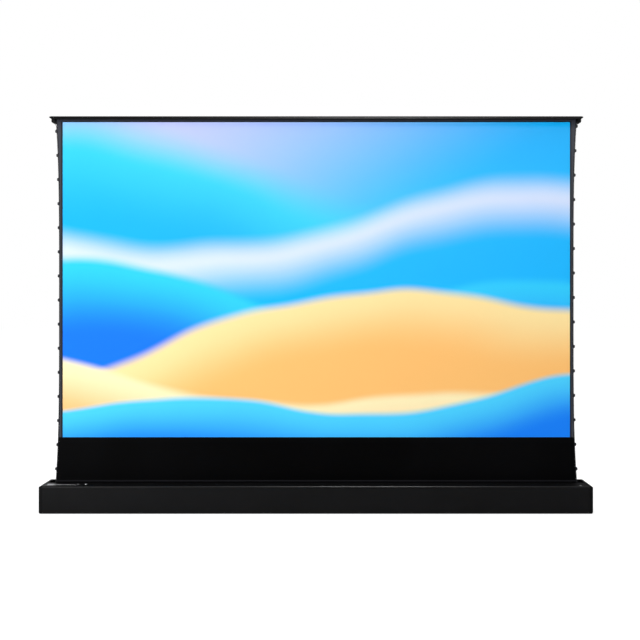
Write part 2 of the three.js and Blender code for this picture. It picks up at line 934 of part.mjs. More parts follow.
function tabLevels(word) {
  const low = housingTop + lowestTab;
  const high = lidUnderside - highestTabs[word];
  return Array.from({ length: tabCount }, (_, i) => low + ((high - low) * i) / (tabCount - 1));
}

function edgeTape(side, word) {
  const low = housingTop + tapeBottom;
  const high = barBottom - tapeTop;
  const front = clothBack + seatGap;
  const rising = levels(low, high);
  const beside = cordOut - cordRadius - cordGap;
  const outer = rising.map((z) => [side * (edgeX(z) + beside), z]);
  const inner = [...rising].reverse().map((z) => [side * (edgeX(z) - tapeWidth), z]);
  const strip = prismY(outline([...outer, ...inner]), front, front + tapeThickness);
  const line = cordPath(side).points;
  const sleeve = along(line, cordRadius + cordGap + sleeveWall);
  const slabs = tabLevels(word).map((z) => {
    const x0 = Math.min(side * (edgeX(z) - tapeWidth), side * (edgeX(z) + tabReach));
    const x1 = Math.max(side * (edgeX(z) - tapeWidth), side * (edgeX(z) + tabReach));
    const deep = cordRadius + cordGap + sleeveWall + overrun;
    return block(x0, x1, cordY - deep, cordY + deep, z - tabHeight / 2, z + tabHeight / 2);
  });
  const flaps = tabLevels(word).map((z) => {
    const root = side * (edgeX(z) - cordOut);
    const tip = side * (edgeX(z) + tabReach);
    const clip = outline([
      [root, z - tabRoot / 2],
      [tip, z - tabTip / 2],
      [tip, z + tabTip / 2],
      [root, z + tabRoot / 2],
    ]);
    return prismY(clip, front, front + tapeThickness);
  });
  const sleeves = sleeve.intersect(joined(slabs));
  const form = joined([strip, ...flaps, sleeves]).subtract(along(line, cordRadius + cordGap));
  return piece(`${word}_edge_tape`, form, looks.tape());
}

function cordTensioner(side, word) {
  const bore = cordRadius + cordGap;
  const top = -seatGap;
  const form = turnedZ([
    [bore, top - tensionerLength],
    [tensionerRadius, top - tensionerLength],
    [tensionerRadius, top - tensionerCollar],
    [tensionerRadius + tensionerCollar / 2, top - tensionerCollar],
    [tensionerRadius + tensionerCollar / 2, top],
    [bore, top],
    [bore, top - tensionerLength],
  ], roundSides / 2);
  const mesh = piece(`${word}_cord_tensioner`, form, looks.darkSteel());
  mesh.position.set(side * cordHanger, cordY, barBottom - endBlockDrop);
  return mesh;
}

// Controls: the box on the floor, the receiver in the top rail, and the panel in the left end
function controlBox() {
  const x0 = -capInner + controlBoxFromEnd;
  const y0 = -innerBack + seatGap + wall + seatGap;
  const low = innerFloor + floorRibHeight + seatGap;
  const body = prismX(
    rectangle(y0, y0 + controlBoxDepth, low, low + controlBoxHeight, controlBoxCorner),
    x0,
    x0 + controlBoxLength,
  );
  const top = low + controlBoxHeight;
  const fins = Array.from({ length: controlBoxFins }, (_, i) => {
    const x = x0 + (controlBoxLength * (i + 1)) / (controlBoxFins + 1);
    const inset = controlBoxCorner;
    const end = y0 + controlBoxDepth - inset;
    return block(x, x + controlBoxFin / 2, y0 + inset, end, top - controlBoxFin, top + controlBoxFin);
  });
  return piece('control_box', joined([body, ...fins]), looks.moulding());
}

function receiverEye() {
  const under = -wall - seatGap;
  const mesh = piece('receiver_eye', turnedZ([
    [0, under - eyeFlange],
    [eyeRadius + eyeFlange, under - eyeFlange],
    [eyeRadius + eyeFlange, under],
    [eyeRadius, under],
    [eyeRadius, 0],
    [eyeRadius * 0.7, eyeRise * 0.8],
    [0, eyeRise],
  ], roundSides / 2), looks.lens());
  mesh.position.set(eyeFromLeft - halfLength, -halfDepth + eyeFromFront, housingTop);
  return mesh;
}

// The connector panel is laid out with its outer face at x = 0, and +X goes into the housing
function connectorPlate() {
  const shape = pierced(
    rectangle(
      -windowWidth / 2 - plateMargin,
      windowWidth / 2 + plateMargin,
      -windowHeight / 2 - plateMargin,
      windowHeight / 2 + plateMargin,
      windowCorner,
    ),
    [
      rectangle(
        inletMiddle - inletWidth / 2 - seatGap,
        inletMiddle + inletWidth / 2 + seatGap,
        -inletHeight / 2 - seatGap,
        inletHeight / 2 + seatGap,
        inletCorner,
      ),
      rectangle(
        rockerMiddle - rockerWidth / 2 - seatGap,
        rockerMiddle + rockerWidth / 2 + seatGap,
        -rockerHeight / 2 - rockerGap,
        rockerHeight / 2 + rockerGap,
      ),
      circle(jackRadius + seatGap, -jackMiddle, 0, roundSides / 2),
      circle(buttonRadius + seatGap, -buttonMiddle, 0, roundSides / 2),
    ],
  );
  const plate = prismX(shape, 0, plateThickness);
  const cheekShape = pierced(
    rectangle(
      plateThickness / 2,
      cheekReach,
      -trunnionRadius - wall,
      trunnionRadius + wall,
    ),
    [circle(trunnionRadius + seatGap, rockerSetBack, 0, roundSides / 2)],
  );
  const cheeks = [-1, 1].map((side) => {
    const near = side * (rockerWidth / 2 + seatGap);
    const far = side * (rockerWidth / 2 + seatGap + cheekThickness);
    const y0 = rockerMiddle + Math.min(near, far);
    return prismY(cheekShape, y0, y0 + cheekThickness);
  });
  const cupInner = buttonRadius + buttonFlange + seatGap;
  const cupDepth = plateThickness + seatGap + buttonFlangeThickness + buttonTravel + seatGap;
  const cup = turnedX([
    [cupInner, plateThickness / 2],
    [cupInner + cupWall, plateThickness / 2],
    [cupInner + cupWall, cupDepth + cupWall],
    [0, cupDepth + cupWall],
    [0, cupDepth],
    [cupInner, cupDepth],
    [cupInner, plateThickness / 2],
  ], roundSides / 2).translate([0, -buttonMiddle, 0]);
  return piece('connector_plate', joined([plate, ...cheeks, cup]), looks.moulding());
}

function powerInlet() {
  const y0 = -inletWidth / 2;
  const z0 = -inletHeight / 2;
  const front = -wall + seatGap;
  const outer = prismX(rectangle(y0, -y0, z0, -z0, inletCorner), front, front + inletDepth);
  const cavity = rectangle(y0 + inletWall, -y0 - inletWall, z0 + inletWall, -z0 - inletWall);
  const hollow = prismX(cavity, front - overrun, front + inletCavity);
  const blades = [[-bladeSpread, -bladeRaise], [0, bladeRaise], [bladeSpread, -bladeRaise]].map(([y, z]) => {
    const start = front + inletCavity - bladeLength;
    const half = bladeThickness / 2;
    return block(start, front + inletCavity + half, y - half, y + half, z - bladeHeight / 2, z + bladeHeight / 2);
  });
  const mesh = piece('power_inlet', joined([outer.subtract(hollow), ...blades]), looks.moulding());
  mesh.position.y = inletMiddle;
  return mesh;
}

function powerRocker() {
  const half = rockerHeight / 2;
  const face = -rockerSetBack - rockerRise;
  const shape = outline([
    [face, -half],
    [face + rockerHollow, 0],
    [face, half],
    [-rockerSetBack + plateThickness, half],
    [trunnionRadius * 2, half / 2],
    [trunnionRadius * 2, -half / 2],
    [-rockerSetBack + plateThickness, -half],
  ]);
  const key = prismY(shape, -rockerWidth / 2, rockerWidth / 2);
  const reach = rockerWidth / 2 + trunnionLength;
  const trunnions = turnedY([[0, -reach], [trunnionRadius, -reach], [trunnionRadius, reach], [0, reach]], roundSides / 2);
  const mesh = piece('power_rocker', key.add(trunnions), looks.moulding());
  mesh.position.set(rockerSetBack, rockerMiddle, 0);
  mesh.rotation.y = rockerTip;
  return mesh;
}

function triggerJack() {
  const nutFront = -wall + seatGap;
  const nut = nutFront + jackNut;
  const mesh = piece('trigger_jack', joined([
    prismX(circle(jackRadius, 0, 0, roundSides / 2), nut - seatGap, jackDepth),
    prismX(circle(jackNutRadius, 0, 0, 6), nutFront, nut),
  ]).subtract(prismX(circle(jackBore, 0, 0, roundSides / 2), nutFront - overrun, jackDepth - wall)), looks.steel());
  mesh.position.y = -jackMiddle;
  return mesh;
}

function manualButton() {
  const flange = plateThickness + seatGap;
  const mesh = piece('manual_button', turnedX([
    [0, -buttonRise],
    [buttonRadius * 0.85, -buttonRise],
    [buttonRadius, -buttonRise * 0.4],
    [buttonRadius, flange],
    [buttonRadius + buttonFlange, flange],
    [buttonRadius + buttonFlange, flange + buttonFlangeThickness],
    [0, flange + buttonFlangeThickness],
  ], roundSides / 2), looks.rubber());
  mesh.position.y = -buttonMiddle;
  return mesh;
}

function connectorPanel() {
  const group = new THREE.Group();
  group.position.set(-halfLength + wall + seatGap, 0, windowMiddle);
  group.add(connectorPlate(), powerInlet(), powerRocker(), triggerJack(), manualButton());
  return group;
}

// The whole screen
function housing() {
  const group = new THREE.Group();
  group.add(rearChassis(), frontPanel(), topRail(), leftEndCap(), rightEndCap());
  group.add(...feet());
  group.add(motorBracket(), idlerBracket(), tubularMotor(), controlBox(), receiverEye());
  group.add(armBase(-1, 'left'), armBase(1, 'right'), connectorPanel());
  return group;
}

function topBar() {
  const group = new THREE.Group();
  group.add(topBarProfile(), coverStrip(), viewingSurface(), blackDrop());
  [[-1, 'left'], [1, 'right']].forEach(([side, word]) => {
    group.add(endBlock(side, word), topBracket(side, word), edgeTape(side, word));
    group.add(tensionCord(side, word), cordTensioner(side, word));
  });
  return group;
}

const screen = new THREE.Group();
screen.add(housing(), roller(), arm(-1, 'left'), arm(1, 'right'), topBar());

export default screen;
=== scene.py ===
"""A floor-standing pull-up projection screen, laid out as a Blender add-on and run as a script."""

import json
import math
from functools import cache

import bmesh
import bpy
from bpy.props import FloatProperty, FloatVectorProperty, IntProperty, PointerProperty
from mathutils import Matrix, Vector


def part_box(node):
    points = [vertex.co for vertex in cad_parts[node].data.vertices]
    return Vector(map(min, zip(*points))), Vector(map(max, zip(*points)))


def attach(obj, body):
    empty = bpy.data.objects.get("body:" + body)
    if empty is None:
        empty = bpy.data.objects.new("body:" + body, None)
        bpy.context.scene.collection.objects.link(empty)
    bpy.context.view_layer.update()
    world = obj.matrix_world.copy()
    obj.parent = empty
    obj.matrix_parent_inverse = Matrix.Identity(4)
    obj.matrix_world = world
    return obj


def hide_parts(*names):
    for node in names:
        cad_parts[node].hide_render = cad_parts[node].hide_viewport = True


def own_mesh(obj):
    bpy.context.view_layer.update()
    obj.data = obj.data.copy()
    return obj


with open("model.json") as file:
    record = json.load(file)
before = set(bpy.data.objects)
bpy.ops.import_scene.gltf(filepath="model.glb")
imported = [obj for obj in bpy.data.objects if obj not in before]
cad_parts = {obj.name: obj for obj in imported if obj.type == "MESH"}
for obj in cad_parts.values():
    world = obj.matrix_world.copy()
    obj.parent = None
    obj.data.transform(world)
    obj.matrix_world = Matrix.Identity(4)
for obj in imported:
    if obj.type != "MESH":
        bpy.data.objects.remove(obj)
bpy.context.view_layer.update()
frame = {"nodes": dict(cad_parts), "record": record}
RECORD = frame["record"]

bl_info = {
    "name": "Pull-up projection screen",
    "version": (1, 0, 0),
    "blender": (4, 5, 0),
    "location": "View3D > Sidebar > Screen",
    "description": "Builds a floor-standing projection screen on folding arms",
    "category": "Object",
}


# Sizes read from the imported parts
def low(node):
    return Vector(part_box(node)[0])


def high(node):
    return Vector(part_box(node)[1])


def centre(node):
    return (low(node) + high(node)) / 2


SIDES = ((-1, "left"), (1, "right"))
CLOTH_FRONT = low("viewing_surface").y
CLOTH_BACK = high("viewing_surface").y
CLOTH_TOP = high("viewing_surface").z
PICTURE_BOTTOM = low("viewing_surface").z
DROP_TOP = high("black_drop").z
DROP_BOTTOM = low("black_drop").z
HOUSING_TOP = high("rear_chassis").z
LID_UNDERSIDE = low("cover_strip").z
# The side edge bows inwards by a power of the distance from the cloth's mid-height
MID_HEIGHT = (HOUSING_TOP + LID_UNDERSIDE) / 2
HALF_HEIGHT = LID_UNDERSIDE - MID_HEIGHT
BOW_POWER = 4
CORD_Y = centre("left_tension_cord").y
CORD_TOP = high("left_tension_cord").z
CORD_ANCHOR = high("right_tension_cord").x - 0.0015
CORD_HANGER = centre("right_cord_tensioner").x
# Heights where the cord leaves the cloth's edge, and where it meets its tensioner
CORD_LOW = HOUSING_TOP + 0.025
CORD_NUT = low("left_cord_tensioner").z
CORD_HIGH = CORD_NUT - 0.020
ROLLER_AXIS = centre("roller_tube")
# The edge tapes lie behind the cloth on a thin film of glue
GLUE = 0.0003
TAPE_DEPTH = 0.0008
TAPE_WIDTH = 0.018
# From the housing's top to the first tab, and from the last tab to the cover strip
FIRST_TAB = 0.0786
LAST_TAB = {"left": 0.0825, "right": 0.050}
# Corners closer than this are one
WELD = 0.000005
# Broken edge of thin trim
THIN_BREAK = 0.0003


def skin(label, about, default):
    return FloatVectorProperty(
        name=label, description=about, subtype="COLOR", size=3, min=0, max=1, default=default
    )


def length(label, about, default):
    return FloatProperty(
        name=label, description=about, default=default, min=0, unit="LENGTH", precision=4
    )


class ScreenSizes(bpy.types.PropertyGroup):
    """Sizes that a user would change."""

    picture_half: length("Half picture", "From the middle to the picture's side edge", 1.6155)
    picture_height: length("Picture height", "From the black drop to the top border", 2.007)
    side_border: length("Side border", "Border at mid-height, outside the picture", 0.0195)
    edge_flare: length("Edge flare", "How far the cloth's side edge bows inwards", 0.022)
    tab_reach: length("Tab reach", "From the cloth's edge to the tip of a tab", 0.013)
    cord_out: length("Cord offset", "From the cloth's edge to the side cord's middle", 0.0032)
    cord_radius: length("Cord radius", "Radius of the side cord", 0.0015)
    tab_height: length("Tab height", "Height of one tab sleeve", 0.022)
    tab_count: IntProperty(name="Tabs", description="Tab sleeves on each side", default=15, min=2)
    stitch_pitch: length("Stitch pitch", "Distance from one stitch to the next", 0.0065)
    edge_break: length("Edge break", "Radius of the broken edges on the metalwork", 0.0006)


class ScreenColours(bpy.types.PropertyGroup):
    """Colours that a user would change, as linear values."""

    shell: skin("Shell", "Anodised housing and top bar", (0.0028, 0.0028, 0.0031))
    moulding: skin("Moulding", "End caps and plastic pieces", (0.0025, 0.0025, 0.0028))
    drop: skin("Drop", "Black cloth under the picture", (0.0010, 0.0010, 0.0012))
    border: skin("Border", "Cloth outside the picture", (0.034, 0.036, 0.048))
    arm: skin("Arms", "Folding arms", (0.022, 0.0225, 0.025))
    steel: skin("Steel", "Pins and screws", (0.46, 0.47, 0.49))


def settings():
    return bpy.context.scene.screen_sizes


# A wave texture of scale 1 runs through this many radians in a metre
WAVE_RADIANS = 20


# Node trees
class Wires:
    """Adds nodes to a tree and joins them."""

    def __init__(self, tree):
        self.tree = tree

    def node(self, kind, inputs=None, **options):
        """A node; each input takes a value, an output, or a node for its first output."""
        made = self.tree.nodes.new(kind)
        for key, value in options.items():
            setattr(made, key, value)
        for key, value in (inputs or {}).items():
            self.feed(made.inputs[key], value)
        return made

    def feed(self, socket, value):
        if isinstance(value, bpy.types.Node):
            value = value.outputs[0]
        if isinstance(value, bpy.types.NodeSocket):
            self.tree.links.new(value, socket)
        elif value is not None:
            short_colour = socket.type == "RGBA" and len(value) == 3
            socket.default_value = (*value, 1.0) if short_colour else value

    def math(self, operation, a, b=None, c=None, clamp=False):
        values = dict(enumerate((a, b, c)))
        return self.node("ShaderNodeMath", values, operation=operation, use_clamp=clamp)

    def times(self, a, b):
        return self.math("MULTIPLY", a, b)

    def minus(self, a, b):
        return self.math("SUBTRACT", a, b)

    def larger(self, a, b):
        return self.math("MAXIMUM", a, b)

    def absolute(self, value):
        return self.math("ABSOLUTE", value)

    def line(self, value, slope, start):
        """The value times the slope, plus the start."""
        return self.math("MULTIPLY_ADD", value, slope, start)

    def ramp(self, value, start, end):
        """0 before start, 1 after end, smooth between."""
        values = dict(enumerate((value, start, end, 0.0, 1.0)))
        return self.node("ShaderNodeMapRange", values, interpolation_type="SMOOTHSTEP")

    def mix(self, factor, a, b):
        return self.node("ShaderNodeMix", {0: factor, 6: a, 7: b}, data_type="RGBA").outputs[2]

    def turned(self, vector, how, amount):
        return self.node("ShaderNodeMapping", {"Vector": vector, how: amount})

    def wave(self, vector, scale, direction="Z"):
        values = {"Vector": vector, "Scale": scale}
        made = self.node("ShaderNodeTexWave", values, wave_type="BANDS", bands_direction=direction)
        return made.outputs["Fac"]

    def bump(self, height, strength, distance):
        values = {"Height": height, "Strength": strength, "Distance": distance}
        return self.node("ShaderNodeBump", values)

    def axes(self, vector):
        return self.node("ShaderNodeSeparateXYZ", {0: vector}).outputs


class Look(Wires):
    """A new node material, with its coordinates and its shader at hand."""

    def __init__(self, name):
        self.made = bpy.data.materials.new(name)
        self.made.use_nodes = True
        super().__init__(self.made.node_tree)
        self.place = self.node("ShaderNodeTexCoord").outputs
        self.spot = self.place["Object"]

    def noise(self, scale, detail=3.0, rough=0.55, stretch=None):
        spot = self.turned(self.spot, "Scale", stretch) if stretch else self.spot
        values = {"Vector": spot, "Scale": scale, "Detail": detail, "Roughness": rough}
        return self.node("ShaderNodeTexNoise", values).outputs["Fac"]

    def mottled(self, mask, start, end, colour, dark, light):
        """The colour from its dark share to its light share, as the mask rises."""
        return self.mix(self.ramp(mask, start, end), scaled(colour, dark), scaled(colour, light))

    def varied(self, mask, middle, swing):
        return self.line(mask, swing * 2, middle - swing)

    def shaded(self, colour, rough, normal=None, specular=0.5, **others):
        """Feeds the shader and gives back the material."""
        shader = self.tree.nodes["Principled BSDF"]
        values = {
            "Base Color": colour,
            "Roughness": rough,
            "Normal": normal,
            "Specular IOR Level": specular,
            **others,
        }
        for key, value in values.items():
            self.feed(shader.inputs[key], value)
        return self.made


def scaled(colour, share):
    return tuple(min(1.0, c * share) for c in colour)


def anodised(name, colour, along="X", rough=0.42, specular=0.085, relief=0.08):
    """Satin anodised aluminium: fine drawn lines and slight clouding."""
    look = Look(name)
    stretch = {"X": (0.6, 60.0, 60.0), "Z": (60.0, 60.0, 0.6)}[along]
    lines = look.noise(30.0, 4.0, 0.6, stretch)
    tint = look.mottled(look.noise(5.0), 0.3, 0.7, colour, 0.86, 1.16)
    tone = look.mix(look.ramp(lines, 0.55, 0.8), tint, scaled(colour, 1.3))
    normal = look.bump(lines, relief, 0.0002)
    return look.shaded(tone, look.varied(lines, rough, 0.06), normal, specular)


def moulded(name, colour, rough=0.5, specular=0.085, grain=900.0, relief=0.25):
    """Injection moulding: a fine spark-eroded grain with slight clouding."""
    look = Look(name)
    grains = look.noise(grain, 2.0, 0.6)
    tone = look.mottled(look.noise(14.0), 0.3, 0.7, colour, 0.85, 1.2)
    normal = look.bump(grains, relief, 0.00015)
    return look.shaded(tone, look.varied(grains, rough, 0.08), normal, specular)


def turned_metal(name, colour, rough=0.3):
    """Turned or plated metal with fine tool lines and a little staining."""
    look = Look(name)
    lines = look.noise(120.0, 4.0, 0.65, (1.0, 14.0, 1.0))
    tone = look.mottled(look.noise(22.0, 4.0), 0.35, 0.75, colour, 1.0, 0.72)
    normal = look.bump(lines, 0.12, 0.0001)
    return look.shaded(tone, look.varied(lines, rough, 0.09), normal, Metallic=1.0)


def rubbery(name, colour):
    """Matt rubber with a dusty mottling."""
    look = Look(name)
    dust = look.noise(60.0, 5.0, 0.7)
    tone = look.mottled(dust, 0.4, 0.8, colour, 1.0, 1.9)
    return look.shaded(tone, 0.85, look.bump(dust, 0.3, 0.0003), 0.25)


def woven(name, colour, pitch, rough=0.6):
    """A close plain weave for tapes, threads and cloth backs."""
    look = Look(name)
    runs = [look.wave(look.spot, 1 / (pitch * WAVE_RADIANS), way) for way in ("X", "Z")]
    weave = look.larger(*runs)
    tint = look.mottled(look.noise(9.0, 4.0), 0.3, 0.75, colour, 0.85, 1.2)
    tone = look.mix(weave, scaled(colour, 0.7), tint)
    normal = look.bump(weave, 0.3, 0.0002)
    return look.shaded(tone, rough, normal, 0.2, **{"Sheen Weight": 0.05})


def braided(name, colour):
    """A tight braid that follows the cord's own UV map."""
    look = Look(name)
    runs = []
    for slope in (1.0, -1.0):
        lay = look.turned(look.place["UV"], "Rotation", (0, 0, slope * math.pi / 4))
        runs.append(look.wave(lay, 1.2, "X"))
    strand = look.larger(*runs)
    tone = look.mix(strand, scaled(colour, 0.5), scaled(colour, 1.3))
    return look.shaded(tone, 0.55, look.bump(strand, 0.5, 0.0003))


def drop_cloth(name, colour):
    """Smooth black cloth with a half gloss, a faint slack swell and a painted highlight line at the
    slot.
    """
    look = Look(name)
    swell = look.noise(1.3, 2.0, 0.5, (1.0, 1.0, 0.5))
    grain = look.noise(1400.0, 2.0)
    height = look.axes(look.spot)["Z"]
    off_highlight_line = look.absolute(look.minus(height, HOUSING_TOP + 0.0022))
    tint = look.mottled(swell, 0.35, 0.7, colour, 0.6, 1.5)
    # Painted highlight: the cloth is drawn far lighter in a thin band just above the housing's top,
    # where it enters the slot
    tone = look.mix(look.ramp(off_highlight_line, 0.0036, 0.0028), tint, scaled(colour, 15.0))
    normal = look.bump(look.math("ADD", grain, swell), 0.1, 0.0002)
    return look.shaded(tone, look.varied(grain, 0.43, 0.05), normal, 0.02)


def picture(name, slate):
    """The viewing surface: the projector's picture painted into the cloth's colour as broad flowing
    bands of sky, mist and amber, inside a slate border.
    """
    look, sizes = Look(name), settings()
    x, _, z = look.axes(look.spot)
    # Picture shares: u runs 0 to 1 from left to right, v from bottom to top
    u = look.line(x, 0.5 / sizes.picture_half, 0.5)
    v = look.line(z, 1 / sizes.picture_height, -PICTURE_BOTTOM / sizes.picture_height)
    drift = look.minus(look.noise(0.55, 2.0, 0.4), 0.5)

    def crest(level, slope, swing, turns, phase):
        """Height of a band's upper edge across the picture."""
        angle = look.line(u, turns * 2 * math.pi, phase)
        wave = look.line(look.math("SINE", angle), swing, level)
        return look.line(drift, 0.25, look.line(u, slope, wave))

    # Painted projected light: these colours stand in for the projector's picture shining on the
    # cloth
    tone = look.mix(look.ramp(v, 0.45, 1.0), (0.02, 0.57, 0.97), (0.0, 0.43, 0.96))
    glow = look.ramp(look.line(u, -1.0, look.times(v, 0.9)), -0.1, 0.75)
    tone = look.mix(look.times(glow, 0.75), tone, (0.66, 0.58, 0.98))
    # Each band: its crest, the softness of its rim, its rim's and its deep colour, and its depth
    bands = (
        ((0.93, -0.34, 0.07, 0.9, 0.6), 0.09, (0.03, 0.60, 0.96), (0.0, 0.42, 0.96), 0.30),
        ((0.66, 0.04, 0.09, 0.75, 3.4), 0.05, (0.74, 0.78, 0.95), (0.0, 0.45, 0.96), 0.17),
        ((0.50, -0.08, 0.08, 1.1, 1.2), 0.02, (0.02, 0.58, 0.95), (0.0, 0.17, 0.90), 0.22),
        ((0.28, 0.18, 0.07, 0.8, 5.2), 0.020, (0.95, 0.74, 0.34), (0.94, 0.50, 0.15), 0.20),
        ((0.24, -0.16, 0.06, 1.0, 2.2), 0.016, (0.95, 0.82, 0.48), (0.90, 0.52, 0.20), 0.18),
        ((0.10, 0.05, 0.05, 1.2, 0.2), 0.013, (0.06, 0.60, 0.95), (0.0, 0.20, 0.90), 0.16),
    )
    for shape, soft, rim, deep, reach in bands:
        depth = look.minus(crest(*shape), v)
        shade = look.mix(look.ramp(depth, 0.0, reach), rim, deep)
        tone = look.mix(look.ramp(depth, -soft, soft), tone, shade)

    # Slate border, darker towards the picture and towards the cut edge of the cloth, and dark along
    # the top: a hem with a painted shadow of the cover strip
    from_middle = look.absolute(x)
    outside = look.minus(from_middle, sizes.picture_half)
    above = look.minus(z, PICTURE_BOTTOM + sizes.picture_height)
    share = look.absolute(look.line(z, 1 / HALF_HEIGHT, -MID_HEIGHT / HALF_HEIGHT))
    bow = look.times(look.math("POWER", share, float(BOW_POWER)), sizes.edge_flare)
    edge = look.math("ADD", bow, sizes.picture_half + sizes.side_border)
    inset = look.minus(edge, from_middle)

    def either(beside, over):
        """1 where either the side border or the top border is past its ramp."""
        return look.larger(look.ramp(outside, *beside), look.ramp(above, *over))

    past_rim = either((0.0088, 0.0108), (0.0055, 0.0075))
    # Painted shadow: the top band under the cover strip is darkened, partly for the hem and partly
    # for the strip's shade
    clear_of_edge_and_lid_shadow = look.times(look.ramp(inset, 0.0030, 0.0055), look.ramp(above, 0.0185, 0.0155))
    border = look.mix(look.times(clear_of_edge_and_lid_shadow, past_rim), scaled(slate, 0.12), slate)
    cloud = look.ramp(look.noise(6.0), 0.3, 0.7)
    border = look.mix(cloud, border, look.mix(0.15, border, (0.030, 0.032, 0.044)))
    tone = look.mix(either((-0.0006, 0.0006), (-0.0006, 0.0006)), tone, border)
    grain = look.noise(1800.0, 2.0)
    ribs = look.wave(look.spot, 1 / (0.0016 * WAVE_RADIANS), "Z")
    normal = look.bump(look.math("ADD", ribs, grain), 0.10, 0.0001)
    return look.shaded(tone, look.varied(grain, 0.66, 0.06), normal, 0.12)


def clear_lens(name, colour):
    """A bright polished lens with a darker haze."""
    look = Look(name)
    haze = look.noise(300.0, 2.0)
    tone = look.mix(haze, (0.62, 0.64, 0.68), colour)
    return look.shaded(tone, look.varied(haze, 0.08, 0.03), **{"Coat Weight": 0.6})


# Each finish: its slot in the library, its recipe, its material's name, its colour (a fixed one, or
# one of the user's with a share of it) and the recipe's other values
FINISHES = {
    "shell": ("black_shell", anodised, "black_shell", ("shell", 1.0)),
    "rail": ("black_shell", anodised, "brushed_rail", ("shell", 0.9), "X", 0.34, 0.10),
    "lid": ("black_shell", anodised, "satin_cover", ("shell", 0.8), "X", 0.52, 0.055, 0.025),
    "arm": ("black_alloy", anodised, "black_alloy", ("arm", 1.0), "Z", 0.38, 0.5),
    "dark_steel": ("dark_steel", moulded, "powder_coat", ("arm", 0.8), 0.46, 0.45, 700.0),
    "moulding": ("black_moulding", moulded, "black_moulding", ("moulding", 1.0)),
    "cap": ("black_moulding", moulded, "satin_moulding", ("moulding", 1.0), 0.42, 0.06, 900, 0.04),
    "rubber": ("black_rubber", rubbery, "black_rubber", (0.006, 0.006, 0.0065)),
    "key": ("black_rubber", rubbery, "grey_rubber", (0.022, 0.022, 0.024)),
    "steel": ("plain_steel", turned_metal, "plain_steel", ("steel", 1.0)),
    "bare": ("bare_metal", turned_metal, "bare_metal", (0.50, 0.51, 0.53)),
    "brass": ("plain_steel", turned_metal, "contact_metal", (0.70, 0.58, 0.32), 0.25),
    "picture": ("screen_cloth", picture, "screen_cloth", ("border", 1.0)),
    "cloth_back": ("black_cloth", woven, "cloth_back", (0.012, 0.012, 0.013), 0.0007),
    "drop": ("black_cloth", drop_cloth, "black_cloth", ("drop", 1.0)),
    "tape": ("edge_tape", woven, "edge_tape", (0.0105, 0.011, 0.0155), 0.0011, 0.65),
    "thread": ("edge_tape", woven, "thread", (0.020, 0.021, 0.026), 0.0004, 0.7),
    "cord": ("tension_cord", braided, "tension_cord", (0.012, 0.012, 0.015)),
    "lens": ("clear_lens", clear_lens, "clear_lens", (0.86, 0.88, 0.92)),
}


@cache
def finish(name):
    """A finish's material, made once."""
    _, recipe, label, colour, *values = FINISHES[name]
    if isinstance(colour[0], str):
        key, share = colour
        colour = scaled(getattr(bpy.context.scene.screen_colours, key), share)
    return recipe(label, colour, *values)


# Pieces
def linked(name, data):
    made = bpy.data.objects.new(name, data)
    bpy.context.scene.collection.objects.link(made)
    return made


def meshed(name, form):
    verts, faces = form
    mesh = bpy.data.meshes.new(name)
    mesh.from_pydata([tuple(v) for v in verts], [], faces)
    return mesh


def piece(name, form, look, body, smooth=None):
    """A mesh piece riding on a body; edges below the smooth angle, in degrees, are shaded round."""
    mesh = meshed(name, form)
    mesh.validate()
    return dressed(linked(name, mesh), look, body, smooth)


def dressed(made, look, body, smooth=None):
    made.data.materials.clear()
    made.data.materials.append(finish(look))
    if smooth is not None:
        shade(made.data, math.radians(smooth))
    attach(made, body)
    return made


def shade(mesh, angle):
    """Smooth shading with sharp edges past that angle."""
    form = bmesh.new()
    form.from_mesh(mesh)
    for face in form.faces:
        face.smooth = True
    for edge in form.edges:
        edge.smooth = len(edge.link_faces) == 2 and edge.calc_face_angle(0) < angle
    form.to_mesh(mesh)
    form.free()


def lathe(profile, sides=48):
    """A form revolved about Z; the profile is (radius, height), a loop or from axis to axis."""
    verts, faces, rings = [], [], []
    for radius, z in profile:
        count = sides if radius > 0 else 1
        rings.append(range(len(verts), len(verts) + count))
        for angle in turn(count):
            verts.append(Vector((radius * math.cos(angle), radius * math.sin(angle), z)))
    closing = [(rings[-1], rings[0])] if len(rings[0]) > 1 else []
    for a, b in [*zip(rings, rings[1:]), *closing]:
        for k in range(sides):
            j = (k + 1) % sides
            if len(a) == 1 and len(b) > 1:
                faces.append((a[0], b[j], b[k]))
            elif len(b) == 1 and len(a) > 1:
                faces.append((a[k], a[j], b[0]))
            elif len(a) > 1:
                faces.append((a[k], a[j], b[j], b[k]))
    return verts, faces


def turn(count):
    """The angles of a full turn in equal steps."""
    return [2 * math.pi * k / count for k in range(count)]


def skinned(rings, capped=True):
    """A tube through rings of as many points; without caps the last ring joins the first."""
    count, total = len(rings[0]), len(rings)
    verts, faces = [point for ring in rings for point in ring], []
    if capped:
        total -= 1
        last = total * count
        faces = [tuple(reversed(range(count))), tuple(range(last, last + count))]
    for i in range(total):
        a, b = i * count, (i + 1) % len(rings) * count
        faces += [
            (a + k, a + (k + 1) % count, b + (k + 1) % count, b + k) for k in range(count)
        ]
    return verts, faces


def flipped(form):
    verts, faces = form
    return verts, [tuple(reversed(face)) for face in faces]


TURNS = {
    "X": Matrix.Rotation(math.pi / 2, 4, "Y"),
    "Y": Matrix.Rotation(-math.pi / 2, 4, "X"),
    "Z": Matrix.Identity(4),
}


def placed(form, at, axis="Z"):
    verts, faces = form
    matrix = Matrix.Translation(at) @ TURNS[axis]
    return [matrix @ v for v in verts], faces


def joined(forms):
    verts, faces = [], []
    for more, sides in forms:
        base = len(verts)
        verts += more
        faces += [tuple(base + i for i in face) for face in sides]
    return verts, faces


def brick(lo, hi):
    xs, ys, zs = zip(lo, hi)
    verts = [Vector((x, y, z)) for x in xs for y in ys for z in zs]
    faces = [(0, 1, 3, 2), (4, 6, 7, 5), (0, 4, 5, 1), (2, 3, 7, 6), (0, 2, 6, 4), (1, 5, 7, 3)]
    return verts, faces


